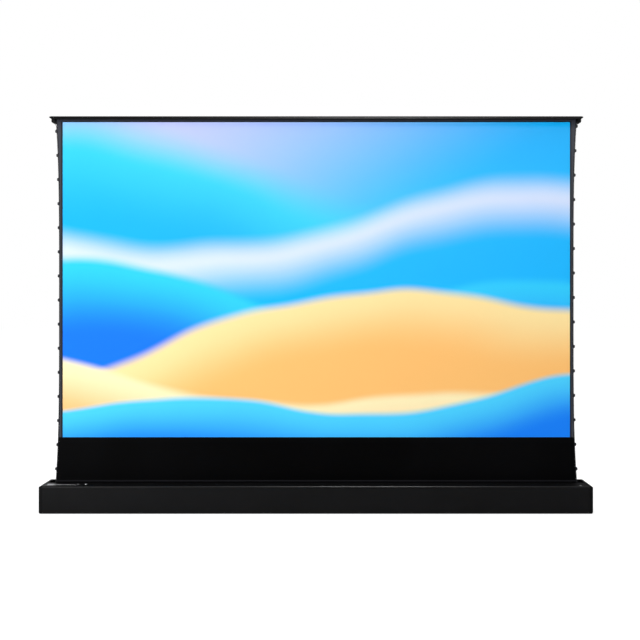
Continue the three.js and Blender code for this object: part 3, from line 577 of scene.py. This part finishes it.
def break_edges(made, width):
    """Welds loose triangles and breaks the sharp edges of a piece or CAD node."""
    weld = made.modifiers.new("weld", "WELD")
    weld.merge_threshold = WELD
    bevel = made.modifiers.new("broken_edges", "BEVEL")
    bevel.width = width
    bevel.segments = 2
    bevel.limit_method = "ANGLE"
    bevel.angle_limit = math.radians(30)
    bevel.use_clamp_overlap = True


def both(*parts):
    """The names of parts that are there on the left and on the right."""
    return [f"{word}_{part}" for _, word in SIDES for part in parts]


def refinish(names, look, share=1.0):
    """Gives CAD nodes their finish and broken edges, as a share of the usual break."""
    for name in names:
        node = frame["nodes"][name]
        for used in node.material_slots:
            used.material = finish(look)
        break_edges(node, settings().edge_break * share)


def rounded(names, look, angle=32, edge=0.0):
    """Stands a welded, smoothly shaded copy in for CAD nodes with round faces."""
    bodies = {n: b for b, ns in RECORD["behaviour"]["bodies"].items() for n in ns}
    for name in names:
        copy = frame["nodes"][name].data.copy()
        form = bmesh.new()
        form.from_mesh(copy)
        bmesh.ops.remove_doubles(form, verts=form.verts, dist=WELD)
        bmesh.ops.dissolve_limit(form, angle_limit=0.002, verts=form.verts, edges=form.edges)
        form.to_mesh(copy)
        form.free()
        made = dressed(linked(f"{name}_finished", copy), look, bodies[name], angle)
        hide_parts(name)
        if edge:
            break_edges(made, edge)


# Geometry Nodes
class Growth(Wires):
    """A tree with named inputs that sets one form on many points."""

    def __init__(self, name, inputs):
        super().__init__(bpy.data.node_groups.new(name, "GeometryNodeTree"))
        face = self.tree.interface
        for label, kind in {"Geometry": "Geometry", **inputs, "Material": "Material"}.items():
            face.new_socket(label, in_out="INPUT", socket_type=f"NodeSocket{kind}")
        face.new_socket("Geometry", in_out="OUTPUT", socket_type="NodeSocketGeometry")
        self.given = self.node("NodeGroupInput").outputs

    def cylinder(self, sides, radius, depth):
        values = {"Vertices": sides, "Radius": radius, "Depth": depth}
        return self.node("GeometryNodeMeshCylinder", values)

    def rotation(self, angles):
        return self.node("FunctionNodeEulerToRotation", {0: angles})

    def ended(self, points, form, rotation):
        """Sets the form on the points, makes it real and gives it its material."""
        values = {"Points": points, "Instance": form, "Rotation": rotation}
        spread = self.node("GeometryNodeInstanceOnPoints", values)
        whole = self.node("GeometryNodeRealizeInstances", {0: spread})
        values = {"Geometry": whole, "Material": self.given["Material"]}
        look = self.node("GeometryNodeSetMaterial", values)
        self.node("NodeGroupOutput", {0: look})
        return self.tree


@cache
def screw_tree():
    """Socket-head screws on points: a round head with a hexagonal recess."""
    inputs = dict.fromkeys(("Head radius", "Head height", "Socket share"), "Float")
    grow = Growth("Socket screws", {**inputs, "Turn": "Vector"})
    radius, height = grow.given["Head radius"], grow.given["Head height"]
    inner = grow.times(radius, grow.given["Socket share"])
    lift = grow.node("ShaderNodeCombineXYZ", {"Z": grow.times(height, 0.45)})
    values = {"Geometry": grow.cylinder(6, inner, height), "Translation": lift}
    recess = grow.node("GeometryNodeTransform", values)
    values = {"Mesh 1": grow.cylinder(24, radius, height), "Mesh 2": recess}
    cut = grow.node("GeometryNodeMeshBoolean", values, operation="DIFFERENCE")
    return grow.ended(grow.given["Geometry"], cut, grow.rotation(grow.given["Turn"]))


@cache
def stitch_tree():
    """A run of raised stitches along a line."""
    inputs = dict.fromkeys(("Pitch", "Thread radius", "Stitch share"), "Float")
    grow = Growth("Stitch run", inputs)
    line = grow.node("GeometryNodeMeshToCurve", {0: grow.given["Geometry"]})
    values = {0: line, "Length": grow.given["Pitch"]}
    points = grow.node("GeometryNodeCurveToPoints", values, mode="LENGTH")
    depth = grow.times(grow.given["Pitch"], grow.given["Stitch share"])
    stitch = grow.cylinder(6, grow.given["Thread radius"], depth)
    return grow.ended(points.outputs["Points"], stitch, points.outputs["Rotation"])


@cache
def copies_tree():
    """Copies of one form on points, turned as each point's angle about Y says."""
    grow = Growth("Tab run", {"Form": "Object", "Half turn": "Float"})
    form = grow.node(
        "GeometryNodeObjectInfo", {"Object": grow.given["Form"]}, transform_space="ORIGINAL"
    )
    tilt = grow.node("GeometryNodeInputNamedAttribute", {"Name": "tilt"}, data_type="FLOAT")
    values = {"Y": tilt.outputs["Attribute"], "Z": grow.given["Half turn"]}
    rotation = grow.rotation(grow.node("ShaderNodeCombineXYZ", values))
    return grow.ended(grow.given["Geometry"], form.outputs["Geometry"], rotation)


def grown(name, tree, points, edges, values, look, body, tilts=None):
    """Runs a tree on points or a line, and rides the result on a body as a plain mesh."""
    group = tree()
    seed = bpy.data.meshes.new(f"{name}_points")
    seed.from_pydata([tuple(p) for p in points], edges, [])
    if tilts:
        seed.attributes.new("tilt", "FLOAT", "POINT").data.foreach_set("value", tilts)
    made = linked(name, seed)
    nodes = made.modifiers.new("grow", "NODES")
    nodes.node_group = group
    values = {**values, "Material": finish(look)}
    for item in group.interface.items_tree:
        if item.item_type == "SOCKET" and item.in_out == "INPUT" and item.name in values:
            nodes[item.identifier] = values[item.name]
    bpy.context.view_layer.update()
    result = made.evaluated_get(bpy.context.evaluated_depsgraph_get())
    mesh = bpy.data.meshes.new_from_object(result)
    made.modifiers.clear()
    made.data = mesh
    mesh.name = name
    if not len(mesh.polygons):
        raise RuntimeError(f"{name} came out empty")
    return dressed(made, look, body, 35)


# Turns that point a screw's head away from what it holds
TOWARDS = {
    "up": (0.0, 0.0, 0.0),
    "down": (math.pi, 0.0, 0.0),
    "back": (-math.pi / 2, 0.0, 0.0),
    "left": (0.0, -math.pi / 2, 0.0),
}


def screws(name, points, way, radius, height, look, body):
    values = {"Head radius": radius, "Head height": height, "Socket share": 0.52}
    return grown(name, screw_tree, points, [], {**values, "Turn": TOWARDS[way]}, look, body)


# Cloth edge and cord lines
def edge_x(z):
    sizes = settings()
    share = min(1.0, abs(z - MID_HEIGHT) / HALF_HEIGHT)
    return sizes.picture_half + sizes.side_border + sizes.edge_flare * share**BOW_POWER


def cord_x(z):
    return edge_x(z) + settings().cord_out


def steps(a, b, count):
    return [a + (b - a) * i / count for i in range(count + 1)]


def stretched_sheet(name, z0, z1, front, back, rows):
    """A thin closed sheet with bowed side edges, and a finish for its front and for its back."""
    heights = steps(z0, z1, rows)
    verts, faces, looks = [], [], []
    for y in (CLOTH_FRONT, CLOTH_BACK):
        for z in heights:
            edge = edge_x(z)
            verts += [Vector((share * edge, y, z)) for share in (-1, -0.5, 0, 0.5, 1)]
    across, back_row = 5, 5 * len(heights)

    def add(face, look, flip=False):
        faces.append(tuple(reversed(face)) if flip else face)
        looks.append(look)

    for i in range(rows):
        for k in range(across - 1):
            a, b = i * across + k, (i + 1) * across + k
            add((a, a + 1, b + 1, b), 0)
            add((back_row + a, back_row + b, back_row + b + 1, back_row + a + 1), 1)
        for k, flip in ((0, False), (across - 1, True)):
            a, b = i * across + k, (i + 1) * across + k
            add((a, b, back_row + b, back_row + a), 1, flip)
    for i, flip in ((0, False), (rows, True)):
        for a in range(i * across, (i + 1) * across - 1):
            add((a, back_row + a, back_row + a + 1, a + 1), 1, flip)
    made = piece(name, (verts, faces), front, "top_bar")
    made.data.materials.append(finish(back))
    made.data.polygons.foreach_set("material_index", looks)
    return made


def folds_away(made):
    """Gives a soft piece its own copy of its mesh."""
    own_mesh(made)


class PULLUP_OT_stage(bpy.types.Operator):
    """Sets the floor, the lights and the camera"""

    bl_idname = "pullup.stage"
    bl_label = "Stage"

    def execute(self, context):
        scene = context.scene
        scene.view_settings.view_transform = "Standard"
        scene.world = self.studio()
        bpy.ops.mesh.primitive_plane_add(size=60, location=(0, 0, 0))
        floor = context.object
        floor.name = "floor"
        floor.data.materials.append(self.floor_finish())
        # Each lamp: its place, what it points at, its size and its power
        self.lamp("key", (-3.4, -4.6, 3.6), (0, 0, 1.0), 3.0, 132)
        self.lamp("low_key", (-3.6, -4.8, 0.9), (-0.6, 0, 0.6), 2.4, 104)
        self.lamp("fill", (3.8, -4.8, 2.8), (0, 0, 1.2), 3.2, 50)
        self.lamp("overhead", (0, 0.6, 5.2), (0, 0, 0), 3.6, 90)
        self.lamp("edge_gloss", (0.55, -2.2, 4.9), (0.2, 0, 0.2), 1.2, 780, gloss_only=True)
        self.lamp("behind", (-1.2, 4.6, 3.2), (0, 0, 1.2), 3.0, 90)
        self.camera(scene)
        return {"FINISHED"}

    def studio(self):
        """A white room that lights the object less than it shows."""
        world = bpy.data.worlds.new("studio")
        world.use_nodes = True
        world.node_tree.nodes.clear()
        wires = Wires(world.node_tree)
        path = wires.node("ShaderNodeLightPath").outputs
        seen = wires.math("ADD", path["Is Camera Ray"], path["Is Transmission Ray"], clamp=True)
        shown = wires.math("MULTIPLY_ADD", path["Is Glossy Ray"], 0.6, seen, clamp=True)
        strength = wires.line(shown, 0.52, 0.48)
        dim = wires.times(self.dark_corner(wires), path["Is Glossy Ray"])
        strength = wires.times(strength, wires.minus(1.0, dim))
        back = wires.node("ShaderNodeBackground", {"Color": (1, 1, 1), "Strength": strength})
        wires.node("ShaderNodeOutputWorld", {"Surface": back})
        return world

    def dark_corner(self, wires):
        """Low behind the object the room is darker to reflections, most of all on the right."""
        x, y, z = wires.axes(wires.node("ShaderNodeTexCoord").outputs["Generated"])
        low_down = wires.minus(1.0, wires.ramp(z, 0.35, 0.6))
        behind = wires.times(wires.ramp(y, 0.2, 0.6), low_down)
        return wires.times(behind, wires.line(wires.ramp(x, -0.2, 0.2), 0.58, 0.38))

    def floor_finish(self):
        """White paper that glows to the camera and is plain to everything else."""
        look = Look("floor_paper")
        look.tree.nodes.remove(look.tree.nodes["Principled BSDF"])
        fleck = look.noise(40.0)
        path = look.node("ShaderNodeLightPath").outputs
        seen = look.larger(path["Is Camera Ray"], path["Is Transmission Ray"])

        def paper(dark, light):
            tone = look.mix(fleck, (dark,) * 3, (light,) * 3)
            return look.node("ShaderNodeBsdfDiffuse", {"Color": tone})

        glow = look.node("ShaderNodeEmission", {"Strength": 0.84})
        glowing = look.node("ShaderNodeAddShader", {0: paper(0.33, 0.35), 1: glow})
        pick = look.node("ShaderNodeMixShader", {0: seen, 1: paper(0.74, 0.78), 2: glowing})
        out = look.tree.nodes["Material Output"]
        look.feed(out.inputs["Surface"], pick)
        return look.made

    def lamp(self, name, at, target, size, power, gloss_only=False):
        light = bpy.data.lights.new(name, "AREA")
        light.shape = "DISK"
        light.size = size
        light.energy = power
        made = linked(name, light)
        made.location = at
        made.rotation_euler = (Vector(target) - Vector(at)).to_track_quat("-Z", "Y").to_euler()
        made.visible_diffuse = not gloss_only

    def camera(self, scene):
        made = bpy.data.cameras.new("view")
        made.sensor_width = 36.0
        made.lens = 42.2
        made.clip_end = 200
        made.shift_x = -0.02
        made.shift_y = -0.031
        seen = linked("view", made)
        seen.location = (0.105, -4.739, 1.328)
        seen.rotation_euler = (math.pi / 2, 0, 0)
        scene.camera = seen


class PULLUP_OT_housing(bpy.types.Operator):
    """Finishes the housing, its feet and what the slot shows inside"""

    bl_idname = "pullup.housing"
    bl_label = "Housing"

    def execute(self, context):
        refinish(["rear_chassis", "front_panel"], "shell")
        refinish(["top_rail"], "rail")
        refinish(both("end_cap"), "cap", 2)
        refinish(["motor_bracket", "idler_bracket"], "dark_steel")
        refinish(["control_box"], "moulding")
        places = ("left", "middle", "right")
        rounded([f"foot_{row}_{at}" for row in ("front", "rear") for at in places], "rubber")
        rounded(["roller_tube", "tubular_motor"], "bare")
        rounded(["drive_crown", "idler_plug", "drive_wheel"], "moulding")
        self.pack()
        self.slot_guides()
        self.fasteners()
        return {"FINISHED"}

    def pack(self):
        """Cloth wound on the roller, with the turns showing at each end."""
        lo, hi = low("cloth_pack"), high("cloth_pack")
        inner = high("roller_tube").z - ROLLER_AXIS.z + 0.0003
        turns, groove = 6, 0.0006
        edges = steps(inner, (hi.z - lo.z) / 2, turns)
        profile = [(inner, 0.0)]
        for a, b in zip(edges, edges[1:]):
            worn = (b - a) * 0.2
            profile += [(a + worn, -groove), (b - worn, -groove), (b - 1e-5, 0.0)]
        right = [(r, hi.x - lo.x - z) for r, z in reversed(profile)]
        left = [(r, -z) for r, z in profile]
        at = (lo.x, ROLLER_AXIS.y, ROLLER_AXIS.z)
        form = placed(lathe(left + right, 64), at, "X")
        made = piece("wound_cloth", form, "drop", "roller", 30)
        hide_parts("cloth_pack")

    def slot_guides(self):
        """A bright guide plate and strip before the slot, a stud at each end, a receiver bezel."""
        end, edge = high("top_rail").x, high("top_rail").y
        floor, seat = HOUSING_TOP + 0.00005, HOUSING_TOP + 0.0001

        def plate(x0, x1, y0, y1, height):
            corner = (x1 - end, edge - y1, HOUSING_TOP + height)
            return brick((x0 - end, edge - y0, floor), corner)

        guide = plate(0.018, 0.056, 0.060, 0.034, 0.0012)
        strip = plate(0.0564, 0.190, 0.053, 0.049, 0.0007)
        break_edges(piece("slot_guides", joined([guide, strip]), "bare", "housing"), THIN_BREAK)
        dome = [(0, 0.0), (0.0058, 0.0), (0.0060, 0.0008), (0.0046, 0.0022), (0, 0.0028)]
        spots = ((0.206 - end, edge - 0.042), (end - 0.050, edge - 0.074))
        studs = [placed(lathe(dome, 24), (x, y, seat)) for x, y in spots]
        piece("slot_studs", joined(studs), "steel", "housing", 40)
        eye = centre("receiver_eye")
        ring = [(0.0069, 0.0), (0.0092, 0.0), (0.0090, 0.0005), (0.0082, 0.0009), (0.0069, 0.0010)]
        bezel = placed(lathe(ring, 40), (eye.x, eye.y, seat))
        piece("receiver_bezel", bezel, "steel", "housing", 40)

    def fasteners(self):
        """Screws in the brackets' feet and under the floor."""
        foot = low("motor_bracket").z + 0.004
        ends = []
        for node, x in (
            ("motor_bracket", high("motor_bracket").x - 0.009),
            ("idler_bracket", low("idler_bracket").x + 0.025),
        ):
            ends += [(x, y, foot) for y in (low(node).y + 0.010, high(node).y - 0.012)]
        screws("bracket_screws", ends, "up", 0.0042, 0.0028, "steel", "housing")
        under = low("rear_chassis").z - 0.0002
        spread = (-1.66, -1.1, -0.55, 0.55, 1.1, 1.66)
        points = [(x, y, under) for x in spread for y in (-0.078, 0.078)]
        screws("floor_screws", points, "down", 0.0038, 0.0016, "dark_steel", "housing")


class PULLUP_OT_cloth(bpy.types.Operator):
    """Makes the viewing surface and the black drop"""

    bl_idname = "pullup.cloth"
    bl_label = "Cloth"

    def execute(self, context):
        surface = stretched_sheet(
            "picture_cloth", PICTURE_BOTTOM, CLOTH_TOP, "picture", "cloth_back", 96
        )
        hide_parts("viewing_surface")
        drop = stretched_sheet("black_drop_cloth", DROP_BOTTOM, DROP_TOP, "drop", "cloth_back", 24)
        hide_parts("black_drop")
        seam = self.seam_tape()
        for made in (surface, drop, seam):
            folds_away(made)
        return {"FINISHED"}

    def seam_tape(self):
        """A tape behind the seam between the picture and the drop, between the two edge tapes."""
        middle, half = (PICTURE_BOTTOM + DROP_TOP) / 2, 0.006
        end = edge_x(middle) - TAPE_WIDTH - 0.0005
        lo = (-end, CLOTH_BACK + 0.00002, middle - half)
        hi = (end, CLOTH_BACK + 0.0006, middle + half)
        return piece("seam_tape", brick(lo, hi), "tape", "top_bar")


class PULLUP_OT_edges(bpy.types.Operator):
    """Makes the taped edges, their tab sleeves and stitches, and the side cords"""

    bl_idname = "pullup.edges"
    bl_label = "Tensioned edges"

    def execute(self, context):
        form = self.tab_form()
        for side, word in SIDES:
            folds_away(self.tape(side, word))
            folds_away(self.tabs(side, word, form))
            for inset, tag in ((0.0035, "outer"), (0.0145, "inner")):
                folds_away(self.stitches(side, word, inset, tag))
            folds_away(self.cord(side, word))
            self.tensioner(side, word)
        bpy.data.objects.remove(form)
        return {"FINISHED"}

    def tape(self, side, word):
        """A woven tape on the back of the cloth, along the bowed edge."""
        node, sizes = f"{word}_edge_tape", settings()
        front, back = CLOTH_BACK + GLUE, CLOTH_BACK + GLUE + TAPE_DEPTH
        beside = sizes.cord_out - sizes.cord_radius - 0.0003
        rings = []
        for z in steps(low(node).z, high(node).z, 80):
            outer, inner = side * (edge_x(z) + beside), side * (edge_x(z) - TAPE_WIDTH)
            ring = [(inner, front), (outer, front), (outer, back), (inner, back)]
            rings.append([Vector((x, y, z)) for x, y in ring])
        form = skinned(rings)
        form = flipped(form) if side < 0 else form
        made = piece(f"{word}_woven_tape", form, "tape", "top_bar", 30)
        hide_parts(node)
        return made

    def tab_form(self):
        """One tab: a sleeve round the cord, a flap towards the tape and a tapering lip outside."""
        sizes = settings()
        wall, inner, half = 0.0008, sizes.cord_radius + 0.0003, sizes.tab_height / 2
        outer = inner + wall
        sleeve = lathe([(inner, -half), (outer, -half), (outer, half), (inner, half)], 20)
        root, tip, grip = 0.016, 0.007, outer - wall / 4
        flap = self.plate(grip, half, sizes.cord_out * 2, root, wall / 2)
        lip = self.plate(-grip, half, sizes.cord_out - sizes.tab_reach, tip, wall / 2)
        return linked("tab_form", meshed("tab_form", joined([sleeve, flap, lip])))

    def plate(self, x0, half0, x1, half1, thick):
        """A flat plate from x0 to x1 whose half height changes on the way."""
        if x1 < x0:
            x0, half0, x1, half1 = x1, half1, x0, half0
        corners = [(x0, -half0), (x1, -half1), (x1, half1), (x0, half0)]
        rings = [[Vector((x, y, z)) for x, z in corners] for y in (-thick, thick)]
        return flipped(skinned(rings))

    def tabs(self, side, word, form):
        first, last = HOUSING_TOP + FIRST_TAB, LID_UNDERSIDE - LAST_TAB[word]
        heights = steps(first, last, settings().tab_count - 1)
        points = [(side * cord_x(z), CORD_Y, z) for z in heights]
        tilts = [-math.atan((cord_x(z + 0.01) - cord_x(z - 0.01)) / 0.02) for z in heights]
        values = {"Form": form, "Half turn": math.pi if side > 0 else 0.0}
        name = f"{word}_tab_sleeves"
        return grown(name, copies_tree, points, [], values, "tape", "top_bar", tilts)

    def stitches(self, side, word, inset, tag):
        """Stitches through tape and cloth, seen on the back."""
        node = f"{word}_edge_tape"
        y = CLOTH_BACK + GLUE + TAPE_DEPTH + 0.0001
        heights = steps(low(node).z + 0.004, high(node).z - 0.004, 60)
        points = [(side * (edge_x(z) - inset), y, z) for z in heights]
        edges = [(i, i + 1) for i in range(len(points) - 1)]
        pitch, name = settings().stitch_pitch, f"{word}_{tag}_stitches"
        values = {"Pitch": pitch, "Thread radius": 0.00028, "Stitch share": 0.68}
        return grown(name, stitch_tree, points, edges, values, "thread", "top_bar")

    def cord(self, side, word):
        """The side cord: a braid from the roller's bobbin up through the tabs to its tensioner."""
        radius, sides, lay = settings().cord_radius, 12, 0.0047
        line = [Vector((side * CORD_ANCHOR, CORD_Y, low(f"{word}_tension_cord").z))]
        line += [Vector((side * cord_x(z), CORD_Y, z)) for z in steps(CORD_LOW, CORD_HIGH, 90)]
        line += [Vector((side * CORD_HANGER, CORD_Y, z)) for z in (CORD_NUT, CORD_TOP)]
        rings = []
        for i, at in enumerate(line):
            run = (line[min(i + 1, len(line) - 1)] - line[max(i - 1, 0)]).normalized()
            v = Vector((0, 1, 0))
            u = v.cross(run).normalized()
            rings.append([at + radius * (math.cos(a) * u + math.sin(a) * v) for a in turn(sides)])
        made = piece(f"{word}_braided_cord", skinned(rings), "cord", "top_bar", 50)
        runs = [0.0]
        for a, b in zip(line, line[1:]):
            runs.append(runs[-1] + (b - a).length)
        layer = made.data.uv_layers.new(name="along")
        for face in made.data.polygons:
            ends = [divmod(made.data.loops[i].vertex_index, sides) for i in face.loop_indices]
            ks = [k for _, k in ends]
            wraps = max(ks) - min(ks) > 1
            for i, (row, k) in zip(face.loop_indices, ends):
                around = 1.0 if wraps and k == 0 else k / sides
                layer.data[i].uv = (around * 2, runs[row] / lay)
        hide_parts(f"{word}_tension_cord")
        return made

    def tensioner(self, side, word):
        """A knurled thimble nut on the cord under the end block."""
        node = f"{word}_cord_tensioner"
        lo, hi = low(node), high(node)
        base = Vector((side * CORD_HANGER, CORD_Y, lo.z))
        teeth, outer, inner, knurl = 28, 0.0042, 0.0018, 0.0004
        tall, collar, flange = hi.z - lo.z, 0.0015, outer + 0.0005

        def ring(radius, z, cut=0.0):
            reach = [(radius - cut * (k % 2), a) for k, a in enumerate(turn(teeth * 2))]
            return [base + Vector((r * math.cos(a), r * math.sin(a), z)) for r, a in reach]

        rings = [
            ring(inner, 0.0),
            ring(outer - 0.0006, 0.0),
            ring(outer, 0.0005, knurl),
            ring(outer, tall - collar, knurl),
            ring(flange, tall - collar),
            ring(flange, tall),
            ring(inner, tall),
        ]
        form = skinned(rings, capped=False)
        made = piece(f"{word}_knurled_nut", form, "dark_steel", "top_bar", 25)
        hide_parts(node)


class PULLUP_OT_arms(bpy.types.Operator):
    """Finishes the folding arms, their brackets and pivots"""

    bl_idname = "pullup.arms"
    bl_label = "Folding arms"

    def execute(self, context):
        refinish(both("lower_tube", "upper_tube"), "arm")
        eyes = ("lower_shoulder_eye", "lower_elbow_eye", "upper_elbow_eye", "upper_top_eye")
        refinish(both(*eyes, "arm_base", "top_bracket"), "dark_steel")
        rounded(both("shoulder_pin", "elbow_pin", "top_pin"), "steel", edge=0.0006)
        for _, word in SIDES:
            pins = [f"{word}_{end}_pin" for end in ("shoulder", "elbow", "top")]
            shoulder, elbow, top = [centre(pin) for pin in pins]
            # Folded, the upper link's back lies close to the lower link, so its heads are low
            self.link_screws(word, "lower", shoulder, elbow, 0.0022)
            self.link_screws(word, "upper", elbow, top, 0.0016)
            self.base_screws(word, shoulder.x)
            self.cover(word, elbow)
        return {"FINISHED"}

    def link_screws(self, word, level, start, end, height):
        """Two screws through the tube into the tongue at each end, on the back."""
        y = high(f"{word}_{level}_tube").y + height / 2 - 0.0004
        run = Vector((end.x - start.x, 0, end.z - start.z))
        total = run.length
        run.normalize()
        origin = Vector((start.x, y, start.z))
        points = [origin + run * t for t in (0.037, 0.052, total - 0.052, total - 0.037)]
        name, body = f"{word}_{level}_arm_screws", f"{word}_{level}_arm"
        screws(name, points, "back", 0.0036, height, "steel", body)

    def base_screws(self, word, x):
        base = low(f"{word}_arm_base")
        points = [(x + dx, base.y + 0.014, base.z + 0.0039) for dx in (-0.026, 0.026)]
        screws(f"{word}_base_screws", points, "up", 0.0040, 0.0026, "steel", "housing")

    def cover(self, word, elbow):
        """A shallow domed cover over the elbow, on the lower link's back."""
        rim = [(0, 0.00002), (0.0170, 0.00002), (0.0174, 0.0006), (0.0168, 0.0014)]
        groove = [(0.0150, 0.0018), (0.0142, 0.0014), (0.0136, 0.0014), (0.0128, 0.0020)]
        dome = [*rim, *groove, (0.0060, 0.0026), (0, 0.0027)]
        at = (elbow.x, high(f"{word}_lower_tube").y, elbow.z)
        form = placed(lathe(dome), at, "Y")
        piece(f"{word}_elbow_cover", form, "moulding", f"{word}_lower_arm", 40)


class PULLUP_OT_bar(bpy.types.Operator):
    """Finishes the top bar, its cover strip and end blocks"""

    bl_idname = "pullup.bar"
    bl_label = "Top bar"

    def execute(self, context):
        refinish(["top_bar_profile"], "shell")
        refinish(["cover_strip"], "lid")
        refinish(both("end_block"), "moulding", 2)
        self.lip(high("cover_strip").x - 0.016, low("cover_strip").y + 0.0004)
        rear, middle = high("top_bar_profile").y, centre("top_bar_profile").z
        spread = (-1.645, -1.628, 1.628, 1.645)
        points = [(x, rear + 0.0006, middle + dz) for x in spread for dz in (-0.0075, 0.0075)]
        screws("bar_end_screws", points, "back", 0.0036, 0.0020, "steel", "top_bar")
        return {"FINISHED"}

    def lip(self, end, y):
        """The cover strip's turned-down front lip, whose face leans back under the strip."""
        top, foot, lean, thick = LID_UNDERSIDE + 0.0002, LID_UNDERSIDE - 0.0105, 0.0024, 0.0016
        section = [(y, foot), (y + thick, foot - 0.0003), (y + thick + lean, top), (y + lean, top)]
        rings = [[(x, a, b) for a, b in section] for x in (-end, end)]
        break_edges(piece("cover_lip", skinned(rings), "lid", "top_bar"), THIN_BREAK)


class PULLUP_OT_controls(bpy.types.Operator):
    """Finishes the connector panel in the left end and the receiver's lens"""

    bl_idname = "pullup.controls"
    bl_label = "Controls"

    def execute(self, context):
        refinish(["connector_plate", "power_inlet"], "moulding", 0.5)
        refinish(["power_rocker"], "cap", 0.5)
        rounded(["trigger_jack"], "steel", 25)
        rounded(["manual_button"], "key", edge=THIN_BREAK)
        rounded(["receiver_eye"], "lens", 40)
        lo, hi = low("connector_plate"), high("connector_plate")
        ys, zs = (lo.y + 0.0115, hi.y - 0.0115), (lo.z + 0.0105, hi.z - 0.0105)
        points = [(lo.x - 0.0004, y, z) for y in ys for z in zs]
        screws("panel_screws", points, "left", 0.0022, 0.0014, "steel", "housing")
        self.blades()
        return {"FINISHED"}

    def blades(self):
        """Bright contact blades over the inlet's moulded ones."""
        front, middle = low("power_inlet").x, centre("power_inlet")
        wide, tall = 0.00115, 0.00215
        skins = []
        for dy, dz in ((-0.007, -0.002), (0.0, 0.002), (0.007, -0.002)):
            y, z = middle.y + dy, middle.z + dz
            corner = (front + 0.0199, y + wide, z + tall)
            skins.append(brick((front + 0.0058, y - wide, z - tall), corner))
        break_edges(piece("contact_blades", joined(skins), "brass", "housing"), THIN_BREAK)


class PULLUP_PT_panel(bpy.types.Panel):
    """Lists the pieces and their sizes in the sidebar"""

    bl_label = "Projection screen"
    bl_idname = "PULLUP_PT_panel"
    bl_space_type = "VIEW_3D"
    bl_region_type = "UI"
    bl_category = "Screen"

    def draw(self, context):
        for step in STEPS:
            self.layout.operator(step.bl_idname)
        for group in (context.scene.screen_sizes, context.scene.screen_colours):
            box = self.layout.box()
            for key in group.__class__.__annotations__:
                box.prop(group, key)


STEPS = (
    PULLUP_OT_stage,
    PULLUP_OT_housing,
    PULLUP_OT_edges,
    PULLUP_OT_cloth,
    PULLUP_OT_arms,
    PULLUP_OT_bar,
    PULLUP_OT_controls,
)
CLASSES = (ScreenSizes, ScreenColours, *STEPS, PULLUP_PT_panel)


def register():
    for kind in CLASSES:
        bpy.utils.register_class(kind)
    bpy.types.Scene.screen_sizes = PointerProperty(type=ScreenSizes)
    bpy.types.Scene.screen_colours = PointerProperty(type=ScreenColours)


def unregister():
    del bpy.types.Scene.screen_colours
    del bpy.types.Scene.screen_sizes
    for kind in reversed(CLASSES):
        bpy.utils.unregister_class(kind)


def main():
    register()
    bpy.ops.pullup.stage()
    bpy.ops.pullup.housing()
    bpy.ops.pullup.edges()
    bpy.ops.pullup.cloth()
    bpy.ops.pullup.arms()
    bpy.ops.pullup.bar()
    bpy.ops.pullup.controls()


if __name__ == "__main__":
    main()
